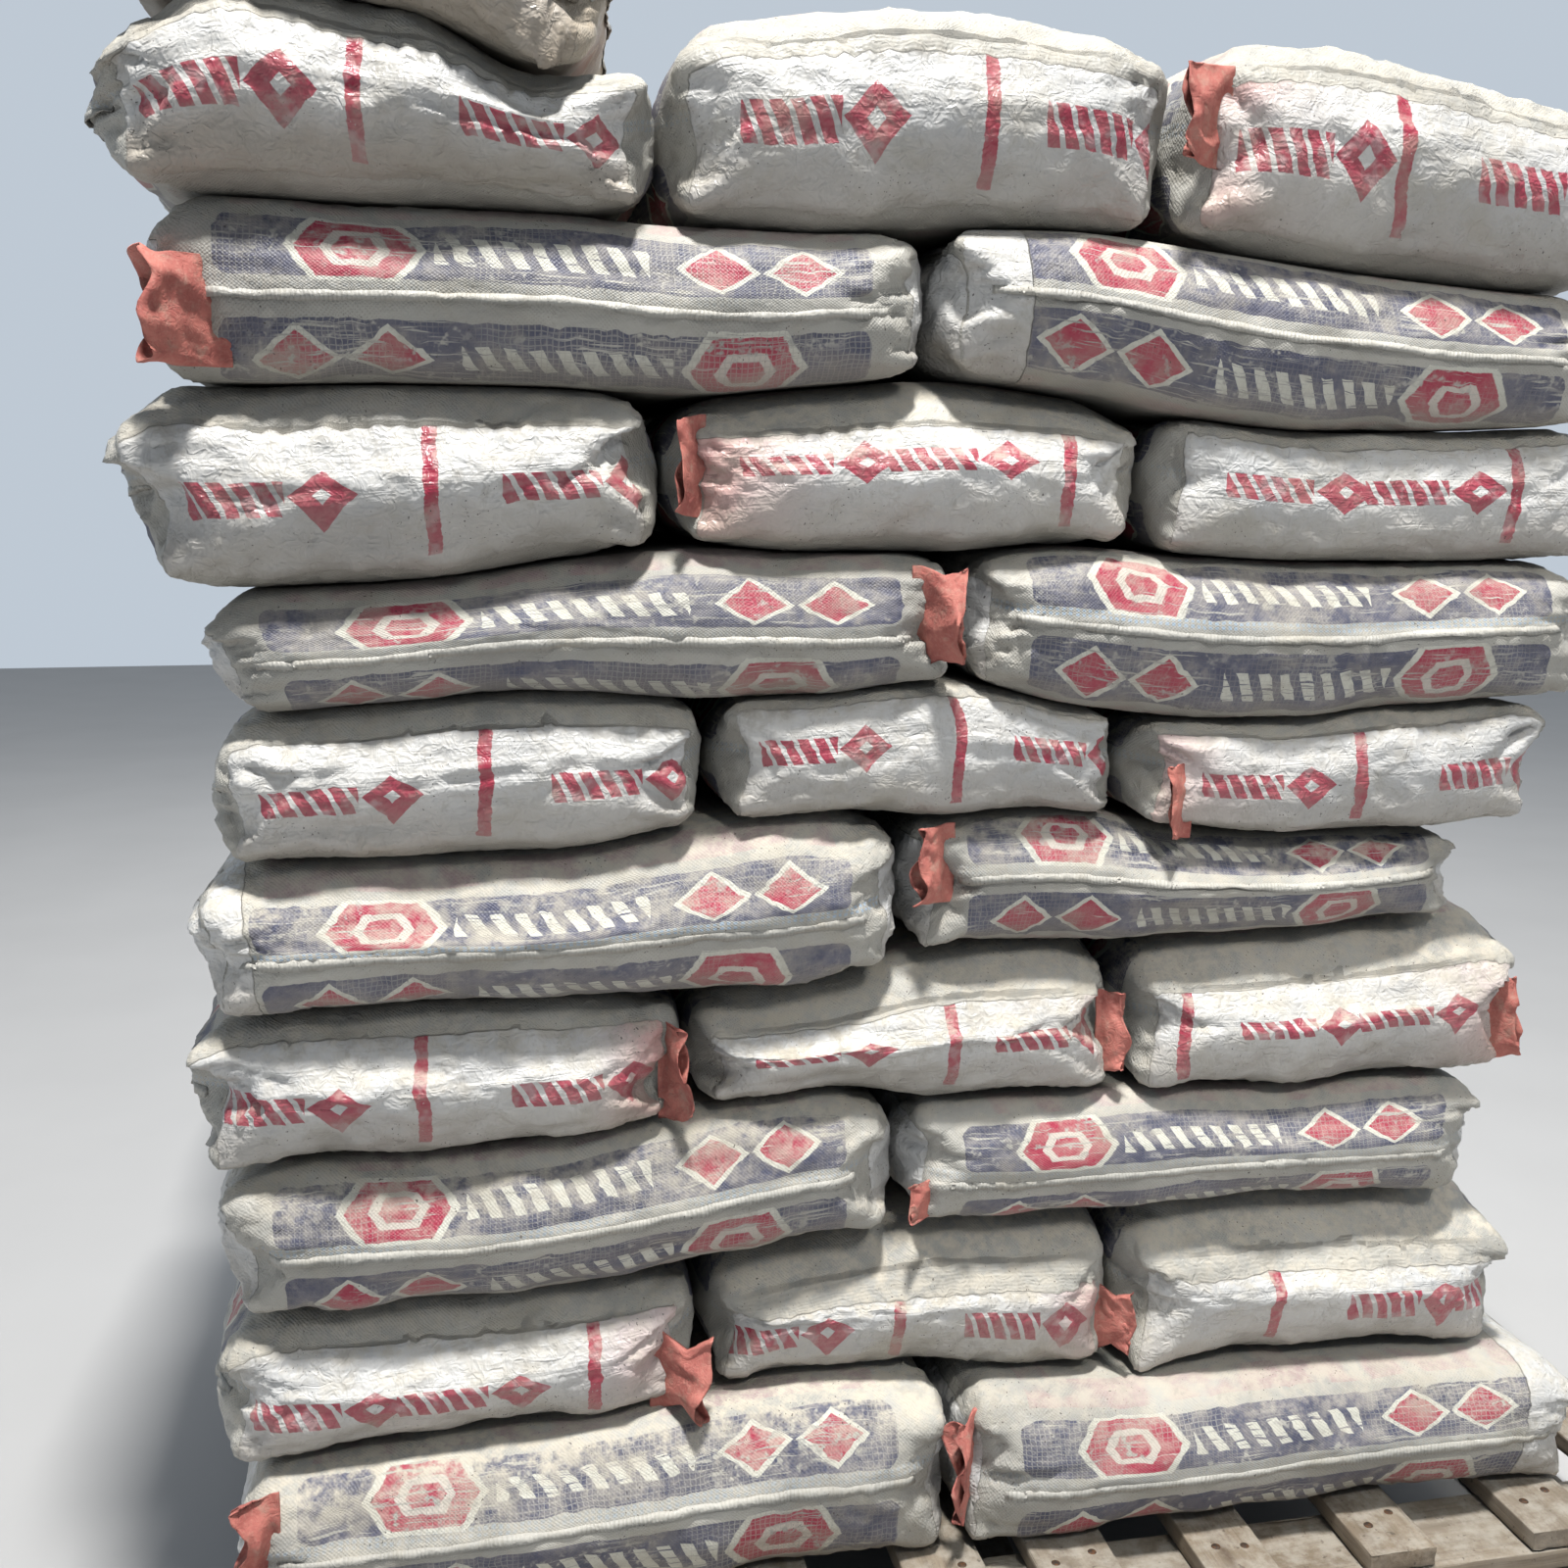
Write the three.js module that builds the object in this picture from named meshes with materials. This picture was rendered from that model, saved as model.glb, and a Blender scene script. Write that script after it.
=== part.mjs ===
// A hand-stacked load of filled block-bottom sacks on a wooden block pallet.
// Millimetres, +Z up. X runs along the face of the stack, -Y is the face that shows,
// the skids stand on z = 0 and the origin is under the middle of the bounding box.
import * as THREE from 'three';

// ---------------------------------------------------------------- driving sizes
const SKID_H = 22;            // bottom skid boards
const BLOCK_H = 80;           // spacer blocks
const BOARD_H = 22;           // cross boards
const SLAT_H = 22;            // deck slats
const DECK = SKID_H + BLOCK_H + BOARD_H + SLAT_H;   // top of the deck

const PALLET_X0 = 0;          // pallet outline in stack coordinates
const PALLET_X1 = 1420;
const PALLET_Y0 = -105;
const PALLET_Y1 = 1095;
const SLAT_W = 80;
const SLAT_X = [0, 208, 417, 585, 710, 865, 1027, 1201, 1338];   // left edges of the slats
const SLAT_DW = [0, 2, 3, 0, 0, -9, -8, 0, 2];                    // small width differences
const CROSS_W = 100;
const SKID_W = 100;

const END_DEPTH = 620;        // an end-on sack runs this far back
const SIDE_DEPTH = 415;       // a side-on sack runs this far back
const STACK_Y1 = 1040;        // back face of the load
const ROW_GAP = 6;            // between the front and the back sacks of a layer
const SIDE_GAP = 3;           // between neighbours along a layer
const LAYER_GAP = 0.5;        // half the gap between two layers
const ROUND = 42;             // width of the rounded shoulder along a sack's edges
const END_ROUND = 34;         // the same at the two ends along X
const BULGE = 14;             // how far the middle of a face stands out
const TOP_SACK = { cx: 152, cy: 286, z: 1370, w: 390, d: 600, h: 124, turn: -4, roll: 8, pitch: 0 };

// Height of each layer's upper surface above the deck, at the knots in X. The layers
// are uneven, as the sacks were thrown on by hand, and both neighbours follow one curve.
const KNOT_X = [-60, 55, 170, 285, 400, 515, 630, 745, 860, 975, 1090, 1205, 1320];
const LAYER_Z = [
  [0, 0, 0, 0, 0, 0, 0, 0, 0, 0, 0, 0, 0],
  [138, 146, 150, 152, 163, 170, 160, 146, 138, 138, 135, 128, 123],
  [278, 278, 275, 277, 288, 306, 314, 307, 307, 309, 302, 294, 292],
  [418, 418, 417, 421, 438, 446, 431, 429, 429, 420, 421, 424, 425],
  [550, 552, 553, 551, 549, 552, 574, 573, 572, 574, 580, 588, 590],
  [683, 684, 685, 686, 702, 710, 703, 704, 683, 672, 673, 676, 676],
  [811, 812, 820, 825, 816, 817, 827, 804, 788, 787, 794, 801, 801],
  [914, 914, 919, 934, 945, 940, 940, 945, 936, 930, 929, 929, 930],
  [1075, 1076, 1078, 1077, 1072, 1082, 1090, 1078, 1058, 1048, 1049, 1053, 1055],
  [1222, 1219, 1217, 1215, 1210, 1207, 1214, 1216, 1205, 1192, 1182, 1175, 1174],
  [1325, 1365, 1363, 1338, 1352, 1391, 1398, 1381, 1367, 1378, 1361, 1339, 1300],
];

// Where each layer's front sacks meet, left to right, and how far each face stands
// in front of (-) or behind (+) the plane of the stack.
const FRONT_ROWS = [
  { edges: [-16, 641, 1305], y: [-44, -46] },
  { edges: [-27, 406, 818, 1246], y: [-4, 4, -2] },
  { edges: [-19, 595, 1199], y: [-6, 0] },
  { edges: [-35, 396, 816, 1235], y: [0, 6, 0] },
  { edges: [-24, 598, 1170], y: [-8, 12] },
  { edges: [-1, 419, 805, 1237], y: [-2, 4, -2] },
  { edges: [0, 641, 1271], y: [0, -4] },
  { edges: [-55, 381, 815, 1277], y: [-6, 2, 0] },
  { edges: [-27, 611, 1261], y: [-2, -8] },
  { edges: [-55, 379, 826, 1284], y: [-14, 0, -8] },
];

// ---------------------------------------------------------------- colours
const MATERIALS = {
  sack: new THREE.MeshStandardMaterial({ color: 0xd2d2c8, roughness: 0.7, metalness: 0 }),
  wood: new THREE.MeshStandardMaterial({ color: 0x8a7256, roughness: 0.85, metalness: 0 }),
};

const pallet = new THREE.Group();
const group = new THREE.Group();
group.add(pallet);

function addMesh(parent, name, geometry, material, x = 0, y = 0, z = 0) {
  const mesh = new THREE.Mesh(geometry, material);
  mesh.name = name;
  mesh.position.set(x, y, z);
  parent.add(mesh);
  return mesh;
}

// ---------------------------------------------------------------- pallet
function board(name, x0, x1, y0, y1, z0, z1) {
  const g = new THREE.BoxGeometry(x1 - x0, y1 - y0, z1 - z0);
  addMesh(pallet, name, g, MATERIALS.wood, (x0 + x1) / 2, (y0 + y1) / 2, (z0 + z1) / 2);
}

const FACE = 0.3;             // clearance between boards that rest on each other
const zSkid = SKID_H;
const zBlock = zSkid + BLOCK_H;
const zBoard = zBlock + BOARD_H;
const midX = (PALLET_X0 + PALLET_X1) / 2;
const midY = (PALLET_Y0 + PALLET_Y1) / 2;
const columns = [
  ['left', PALLET_X0, PALLET_X0 + SKID_W],
  ['middle', midX - SKID_W / 2, midX + SKID_W / 2],
  ['right', PALLET_X1 - SKID_W, PALLET_X1],
];
const rows = [
  ['front', PALLET_Y0, PALLET_Y0 + CROSS_W],
  ['middle', midY - CROSS_W / 2, midY + CROSS_W / 2],
  ['back', PALLET_Y1 - CROSS_W, PALLET_Y1],
];
for (const [side, x0, x1] of columns) {
  board(`skid_${side}`, x0, x1, PALLET_Y0, PALLET_Y1, 0, zSkid);
}
for (const [row, y0, y1] of rows) {
  board(`cross_board_${row}`, PALLET_X0, PALLET_X1, y0, y1, zBlock + FACE, zBoard);
  for (const [side, x0, x1] of columns) {
    board(`block_${row}_${side}`, x0, x1, y0, y1, zSkid + FACE, zBlock);
  }
}
SLAT_X.forEach((x, i) => {
  board(`deck_slat_${i + 1}`, x, x + SLAT_W + SLAT_DW[i], PALLET_Y0, PALLET_Y1, zBoard + FACE, DECK);
});

// ---------------------------------------------------------------- sacks
function layerHeight(layer, x) {
  const z = LAYER_Z[layer];
  if (x <= KNOT_X[0]) return z[0];
  for (let i = 1; i < KNOT_X.length; i++) {
    if (x <= KNOT_X[i]) {
      const t = (x - KNOT_X[i - 1]) / (KNOT_X[i] - KNOT_X[i - 1]);
      return z[i - 1] + t * (z[i] - z[i - 1]);
    }
  }
  return z[z.length - 1];
}

// Stations along X for sacks that meet at the given edges: each sack has a pinched
// end, a full section a little inside it, and a section at every knot between.
function stations(edges) {
  const list = [{ x: edges[0], pinch: 1 }];
  for (let s = 0; s + 1 < edges.length; s++) {
    const near = (x) => KNOT_X.find((k) => Math.abs(k - x) <= 20) ?? x;
    const a = near(edges[s] + END_ROUND);
    const b = near(edges[s + 1] - END_ROUND);
    list.push({ x: a, pinch: 0 });
    for (const k of KNOT_X) if (k > a + 1 && k < b - 1) list.push({ x: k, pinch: 0 });
    list.push({ x: b, pinch: 0 });
    list.push({ x: edges[s + 1], pinch: 1 });
  }
  return list;
}

// A pillow, or a row of pillows with the valleys between them, as a box whose points are
// moved: four lines in Y and three in Z round off its long edges.
function pillow(list, y0, y1, bottom, top) {
  const nx = list.length - 1;
  const g = new THREE.BoxGeometry(2, 2, 2, nx, 3, 2);
  const p = g.attributes.position;
  for (let i = 0; i < p.count; i++) {
    const s = list[Math.round((p.getX(i) + 1) / 2 * nx)];
    const j = Math.round((p.getY(i) + 1) / 2 * 3);
    const k = Math.round(p.getZ(i) + 1);
    const zb = bottom(s.x);
    const zt = top(s.x);
    const h = zt - zb;
    const zm = (zb + zt) / 2;
    const outer = j === 0 || j === 3;
    let y;
    if (j === 0) y = k === 1 ? y0 - BULGE : y0 + 8;
    else if (j === 3) y = k === 1 ? y1 + BULGE : y1 - 8;
    else y = j === 1 ? y0 + ROUND : y1 - ROUND;
    let z;
    if (k === 1) z = zm;
    else if (k === 0) z = outer ? zb + 0.24 * h : zb;
    else z = outer ? zt - 0.24 * h : zt;
    if (s.pinch) {
      const ym = (y0 + y1) / 2;
      y = ym + (y - ym) * (1 - 2 * 24 / (y1 - y0));
      z = zm + (z - zm) * 0.6;
    }
    p.setXYZ(i, s.x, y, z);
  }
  g.computeVertexNormals();
  return g;
}

function sack(name, x0, x1, y0, y1, layer) {
  const list = stations([x0, x1]);
  const g = pillow(list, y0, y1,
    (x) => (layer === 1 ? 0 : layerHeight(layer - 1, x)) + LAYER_GAP,
    (x) => layerHeight(layer, x) - LAYER_GAP);
  addMesh(group, name, g, MATERIALS.sack, 0, 0, DECK);
}

const SIDES = { 2: ['left', 'right'], 3: ['left', 'middle', 'right'] };
FRONT_ROWS.forEach((row, r) => {
  const layer = r + 1;
  const tag = String(layer).padStart(2, '0');
  const n = row.edges.length - 1;
  const depth = n === 3 ? END_DEPTH : SIDE_DEPTH;
  for (let s = 0; s < n; s++) {
    sack(`sack_${tag}_${SIDES[n][s]}`,
      row.edges[s] + SIDE_GAP / 2, row.edges[s + 1] - SIDE_GAP / 2,
      row.y[s] + BULGE, depth - BULGE, layer);
  }
  // the hidden sacks behind: the other way round, one solid for the layer
  const first = row.edges[0] + SIDE_GAP / 2;
  const last = row.edges[n] - SIDE_GAP / 2;
  const m = n === 3 ? 2 : 3;
  const edges = [];
  for (let s = 0; s <= m; s++) edges.push(first + (last - first) * s / m);
  const g = pillow(stations(edges), depth + ROW_GAP + BULGE, STACK_Y1 - BULGE,
    (x) => (layer === 1 ? 0 : layerHeight(layer - 1, x)) + LAYER_GAP,
    (x) => layerHeight(layer, x) - LAYER_GAP);
  addMesh(group, `back_sacks_${tag}`, g, MATERIALS.sack, 0, 0, DECK);
});

// the single sack thrown on top, askew and tipped a little to the right
{
  const t = TOP_SACK;
  const list = [
    { x: -t.w / 2, pinch: 1 }, { x: -t.w / 2 + END_ROUND, pinch: 0 }, { x: 0, pinch: 0 },
    { x: t.w / 2 - END_ROUND, pinch: 0 }, { x: t.w / 2, pinch: 1 },
  ];
  const g = pillow(list, -t.d / 2 + BULGE, t.d / 2 - BULGE, () => 0, () => t.h);
  const mesh = addMesh(group, 'sack_on_top', g, MATERIALS.sack, t.cx, t.cy, DECK + t.z);
  mesh.rotation.set(
    THREE.MathUtils.degToRad(t.pitch),
    THREE.MathUtils.degToRad(t.roll),
    THREE.MathUtils.degToRad(t.turn), 'ZYX');
}

// ---------------------------------------------------------------- origin
group.updateMatrixWorld(true);
const box = new THREE.Box3().setFromObject(group, true);
group.position.set(-(box.min.x + box.max.x) / 2, -(box.min.y + box.max.y) / 2, -box.min.z);
group.updateMatrixWorld(true);

export default group;
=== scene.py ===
import math
import bpy
import numpy as np
from mathutils import Matrix, Vector


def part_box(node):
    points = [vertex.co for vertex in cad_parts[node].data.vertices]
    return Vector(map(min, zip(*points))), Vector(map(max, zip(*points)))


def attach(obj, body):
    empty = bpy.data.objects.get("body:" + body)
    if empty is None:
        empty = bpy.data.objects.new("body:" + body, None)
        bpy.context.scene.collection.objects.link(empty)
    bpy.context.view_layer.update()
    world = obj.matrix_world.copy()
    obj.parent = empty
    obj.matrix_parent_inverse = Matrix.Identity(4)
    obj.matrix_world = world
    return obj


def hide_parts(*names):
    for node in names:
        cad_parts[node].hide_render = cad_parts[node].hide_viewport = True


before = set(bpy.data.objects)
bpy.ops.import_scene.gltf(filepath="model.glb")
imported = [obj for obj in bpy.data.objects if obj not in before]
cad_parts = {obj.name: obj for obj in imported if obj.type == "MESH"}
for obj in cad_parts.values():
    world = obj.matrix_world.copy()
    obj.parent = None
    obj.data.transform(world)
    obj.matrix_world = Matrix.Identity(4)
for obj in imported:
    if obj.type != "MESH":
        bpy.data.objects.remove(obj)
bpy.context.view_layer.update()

# ------------------------------------------------------------------ frame
# Stack coordinates: x along the face from its left end, y back from the face,
# z above the deck. O carries them into the row frame.
_lo, _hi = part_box("skid_left")
_slo, _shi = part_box("deck_slat_1")
DECK = _shi.z
O = np.array([_lo.x, _lo.y + 0.105, DECK])

KNOT_X = np.array([-60, 55, 170, 285, 400, 515, 630, 745, 860, 975, 1090, 1205, 1320]) / 1000
LAYER_Z = np.array([
    [0, 0, 0, 0, 0, 0, 0, 0, 0, 0, 0, 0, 0],
    [138, 146, 150, 152, 163, 170, 160, 146, 138, 138, 135, 128, 123],
    [278, 278, 275, 277, 288, 306, 314, 307, 307, 309, 302, 294, 292],
    [418, 418, 417, 421, 438, 446, 431, 429, 429, 420, 421, 424, 425],
    [550, 552, 553, 551, 549, 552, 574, 573, 572, 574, 580, 588, 590],
    [683, 684, 685, 686, 702, 710, 703, 704, 683, 672, 673, 676, 676],
    [811, 812, 820, 825, 816, 817, 827, 804, 788, 787, 794, 801, 801],
    [914, 914, 919, 934, 945, 940, 940, 945, 936, 930, 929, 929, 930],
    [1075, 1076, 1078, 1077, 1072, 1082, 1090, 1078, 1058, 1048, 1049, 1053, 1055],
    [1222, 1219, 1217, 1215, 1210, 1207, 1214, 1216, 1205, 1192, 1182, 1175, 1174],
    [1325, 1365, 1363, 1338, 1352, 1391, 1398, 1381, 1367, 1378, 1361, 1339, 1300],
]) / 1000


def layer_z(k, x):
    """Height of the surface on top of layer k, smooth in x."""
    z = LAYER_Z[k]
    m = np.gradient(z, KNOT_X)
    i = np.clip(np.searchsorted(KNOT_X, x) - 1, 0, len(KNOT_X) - 2)
    h = KNOT_X[i + 1] - KNOT_X[i]
    t = np.clip((x - KNOT_X[i]) / h, 0, 1)
    h00 = (1 + 2 * t) * (1 - t) ** 2
    h10 = t * (1 - t) ** 2
    h01 = t * t * (3 - 2 * t)
    h11 = t * t * (t - 1)
    return h00 * z[i] + h10 * h * m[i] + h01 * z[i + 1] + h11 * h * m[i + 1]


# ------------------------------------------------------------------ noise
_rng = np.random.default_rng(11)
_perm = _rng.permutation(256)
_perm = np.concatenate([_perm, _perm])
_grad = _rng.normal(size=(256, 3))
_grad /= np.linalg.norm(_grad, axis=1)[:, None]


def noise(p):
    """Gradient noise at (n, 3) points, about -0.7 to 0.7."""
    p = np.asarray(p, float)
    i = np.floor(p).astype(int)
    f = p - i
    u = f * f * f * (f * (f * 6 - 15) + 10)
    out = np.zeros(len(p))
    for dx in (0, 1):
        wx = u[:, 0] if dx else 1 - u[:, 0]
        a = _perm[(i[:, 0] + dx) & 255]
        for dy in (0, 1):
            wy = u[:, 1] if dy else 1 - u[:, 1]
            b = _perm[a + ((i[:, 1] + dy) & 255)]
            for dz in (0, 1):
                wz = u[:, 2] if dz else 1 - u[:, 2]
                g = _grad[_perm[b + ((i[:, 2] + dz) & 255)]]
                d = f - np.array([dx, dy, dz])
                out += wx * wy * wz * np.einsum("ij,ij->i", g, d)
    return out * 1.5


def smooth(a, b, x):
    t = np.clip((x - a) / (b - a), 0, 1)
    return t * t * (3 - 2 * t)


# ------------------------------------------------------------------ mesh helpers
def box_grid(A, B, C):
    """Points and outward quads of a box gridded by the sorted line positions."""
    na, nb, nc = len(A), len(B), len(C)
    surf = np.zeros((na, nb, nc), bool)
    surf[0] = surf[-1] = True
    surf[:, 0] = surf[:, -1] = True
    surf[:, :, 0] = surf[:, :, -1] = True
    idx = -np.ones((na, nb, nc), int)
    idx[surf] = np.arange(surf.sum())
    I, J, K = np.nonzero(surf)
    P = np.stack([A[I], B[J], C[K]], 1)
    quads = []

    def q(s, flip):
        a, b, c, d = s[:-1, :-1], s[1:, :-1], s[1:, 1:], s[:-1, 1:]
        if flip:
            b, d = d, b
        quads.append(np.stack([a, b, c, d], -1).reshape(-1, 4))

    q(idx[:, :, -1], False)
    q(idx[:, :, 0], True)
    q(idx[:, 0, :], False)
    q(idx[:, -1, :], True)
    q(idx[-1], False)
    q(idx[0], True)
    return P, np.concatenate(quads), idx


def normals(P, F):
    tri = np.cross(P[F[:, 2]] - P[F[:, 0]], P[F[:, 3]] - P[F[:, 1]])
    N = np.zeros_like(P)
    for k in range(4):
        np.add.at(N, F[:, k], tri)
    return N / np.maximum(np.linalg.norm(N, axis=1)[:, None], 1e-12)


class Soup:
    """Points, faces and point attributes gathered into one mesh."""

    def __init__(self):
        self.P, self.F, self.A, self.n = [], [], {}, 0

    def add(self, P, F, **att):
        P = np.asarray(P, float)
        self.P.append(P)
        self.F += [tuple(int(v) + self.n for v in f) for f in F]
        for k, v in att.items():
            self.A.setdefault(k, []).append(np.broadcast_to(np.asarray(v, float), (len(P), 3)))
        self.n += len(P)

    def object(self, name, mat, smooth_shade=True):
        P = np.concatenate(self.P)
        return make_object(name, P, self.F, {k: np.concatenate(v) for k, v in self.A.items()}, mat, smooth_shade)


def make_object(name, P, F, att, mat, smooth_shade=True):
    me = bpy.data.meshes.new(name)
    me.from_pydata([tuple(p) for p in P], [], [tuple(f) for f in F])
    for k, v in att.items():
        a = me.attributes.new(k, "FLOAT_VECTOR", "POINT")
        a.data.foreach_set("vector", np.ascontiguousarray(v, np.float32).ravel())
    me.polygons.foreach_set("use_smooth", [smooth_shade] * len(me.polygons))
    me.update()
    ob = bpy.data.objects.new(name, me)
    bpy.context.scene.collection.objects.link(ob)
    if mat is not None:
        me.materials.append(mat)
    return ob


def decimate(ob, ratio):
    m = ob.modifiers.new("thin", "DECIMATE")
    m.ratio = ratio
    m.use_collapse_triangulate = False
    dg = bpy.context.evaluated_depsgraph_get()
    me = bpy.data.meshes.new_from_object(ob.evaluated_get(dg), preserve_all_data_layers=True, depsgraph=dg)
    old = ob.data
    ob.modifiers.remove(m)
    ob.data = me
    me.name = old.name
    bpy.data.meshes.remove(old)
    me.name = ob.name
    return ob


# ------------------------------------------------------------------ node helpers
class Nodes:
    def __init__(self, mat):
        mat.use_nodes = True
        self.t = mat.node_tree
        self.t.nodes.clear()

    def new(self, kind, **kw):
        n = self.t.nodes.new(kind)
        for k, v in kw.items():
            setattr(n, k, v)
        return n

    def put(self, sock, v):
        if isinstance(v, bpy.types.NodeSocket):
            self.t.links.new(v, sock)
        else:
            sock.default_value = v

    def m(self, op, a, b=None, c=None, clamp=False):
        n = self.new("ShaderNodeMath", operation=op, use_clamp=clamp)
        self.put(n.inputs[0], a)
        if b is not None:
            self.put(n.inputs[1], b)
        if c is not None:
            self.put(n.inputs[2], c)
        return n.outputs[0]

    def add(self, a, b): return self.m("ADD", a, b)
    def sub(self, a, b): return self.m("SUBTRACT", a, b)
    def mul(self, a, b): return self.m("MULTIPLY", a, b)
    def mad(self, a, b, c): return self.m("MULTIPLY_ADD", a, b, c)
    def abs(self, a): return self.m("ABSOLUTE", a)
    def max(self, a, b): return self.m("MAXIMUM", a, b)
    def min(self, a, b): return self.m("MINIMUM", a, b)

    def step(self, x, a, b):
        """0 below a, 1 above b, smooth between; a may be above b."""
        n = self.new("ShaderNodeMapRange", interpolation_type="SMOOTHSTEP")
        self.put(n.inputs[0], x)
        if a < b:
            lo, hi, to0, to1 = a, b, 0.0, 1.0
        else:
            lo, hi, to0, to1 = b, a, 1.0, 0.0
        n.inputs[1].default_value = lo
        n.inputs[2].default_value = hi
        n.inputs[3].default_value = to0
        n.inputs[4].default_value = to1
        return n.outputs[0]

    def mix(self, f, a, b, mode="MIX"):
        n = self.new("ShaderNodeMix", data_type="RGBA", blend_type=mode, clamp_factor=True)
        self.put(n.inputs[0], f)
        for s, v in ((n.inputs[6], a), (n.inputs[7], b)):
            self.put(s, v if isinstance(v, bpy.types.NodeSocket) else (*v, 1.0))
        return n.outputs[2]

    def fmix(self, f, a, b):
        n = self.new("ShaderNodeMix", data_type="FLOAT", clamp_factor=True)
        self.put(n.inputs[0], f)
        self.put(n.inputs[2], a)
        self.put(n.inputs[3], b)
        return n.outputs[0]

    def att(self, name):
        n = self.new("ShaderNodeAttribute", attribute_name=name)
        s = self.new("ShaderNodeSeparateXYZ")
        self.t.links.new(n.outputs["Vector"], s.inputs[0])
        return s.outputs[0], s.outputs[1], s.outputs[2], n.outputs["Vector"]

    def xyz(self, x, y, z):
        n = self.new("ShaderNodeCombineXYZ")
        for i, v in enumerate((x, y, z)):
            self.put(n.inputs[i], v)
        return n.outputs[0]

    def sep(self, v):
        s = self.new("ShaderNodeSeparateXYZ")
        self.put(s.inputs[0], v)
        return s.outputs

    def noise(self, vec, scale, detail=2.0, rough=0.5, dist=0.0):
        n = self.new("ShaderNodeTexNoise")
        self.put(n.inputs["Vector"], vec)
        n.inputs["Scale"].default_value = scale
        n.inputs["Detail"].default_value = detail
        n.inputs["Roughness"].default_value = rough
        n.inputs["Distortion"].default_value = dist
        return n.outputs[0]

    def scaled(self, vec, k):
        n = self.new("ShaderNodeVectorMath", operation="SCALE")
        self.put(n.inputs[0], vec)
        n.inputs[3].default_value = k
        return n.outputs[0]

    def vor(self, vec, scale, feature="F1"):
        n = self.new("ShaderNodeTexVoronoi", feature=feature)
        self.put(n.inputs["Vector"], vec)
        n.inputs["Scale"].default_value = scale
        return n.outputs[0]

    def box(self, x, y, hx, hy, r):
        """Signed distance to a rounded rectangle about the origin."""
        dx = self.sub(self.abs(x), hx - r)
        dy = self.sub(self.abs(y), hy - r)
        ox, oy = self.max(dx, 0.0), self.max(dy, 0.0)
        out = self.m("SQRT", self.add(self.mul(ox, ox), self.mul(oy, oy)))
        return self.sub(self.add(out, self.min(self.max(dx, dy), 0.0)), r)

    def out(self, shader):
        o = self.new("ShaderNodeOutputMaterial")
        self.t.links.new(shader, o.inputs[0])


WOVEN = (0.495, 0.486, 0.446)
WOVEN_2 = (0.388, 0.384, 0.358)
PATCH = (0.675, 0.676, 0.664)
PATCH_2 = (0.555, 0.563, 0.566)
VIOLET = (0.080, 0.086, 0.138)
VIOLET_2 = (0.118, 0.122, 0.176)
CRIMSON = (0.400, 0.036, 0.075)
PALE = (0.640, 0.640, 0.570)
DUST = (0.590, 0.548, 0.462)
# grey-beige for the lower part of the patch: partly earth, partly painted shade
SHADED_TAN = (0.370, 0.335, 0.290)
SKYTAPE = (0.330, 0.450, 0.590)


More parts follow.
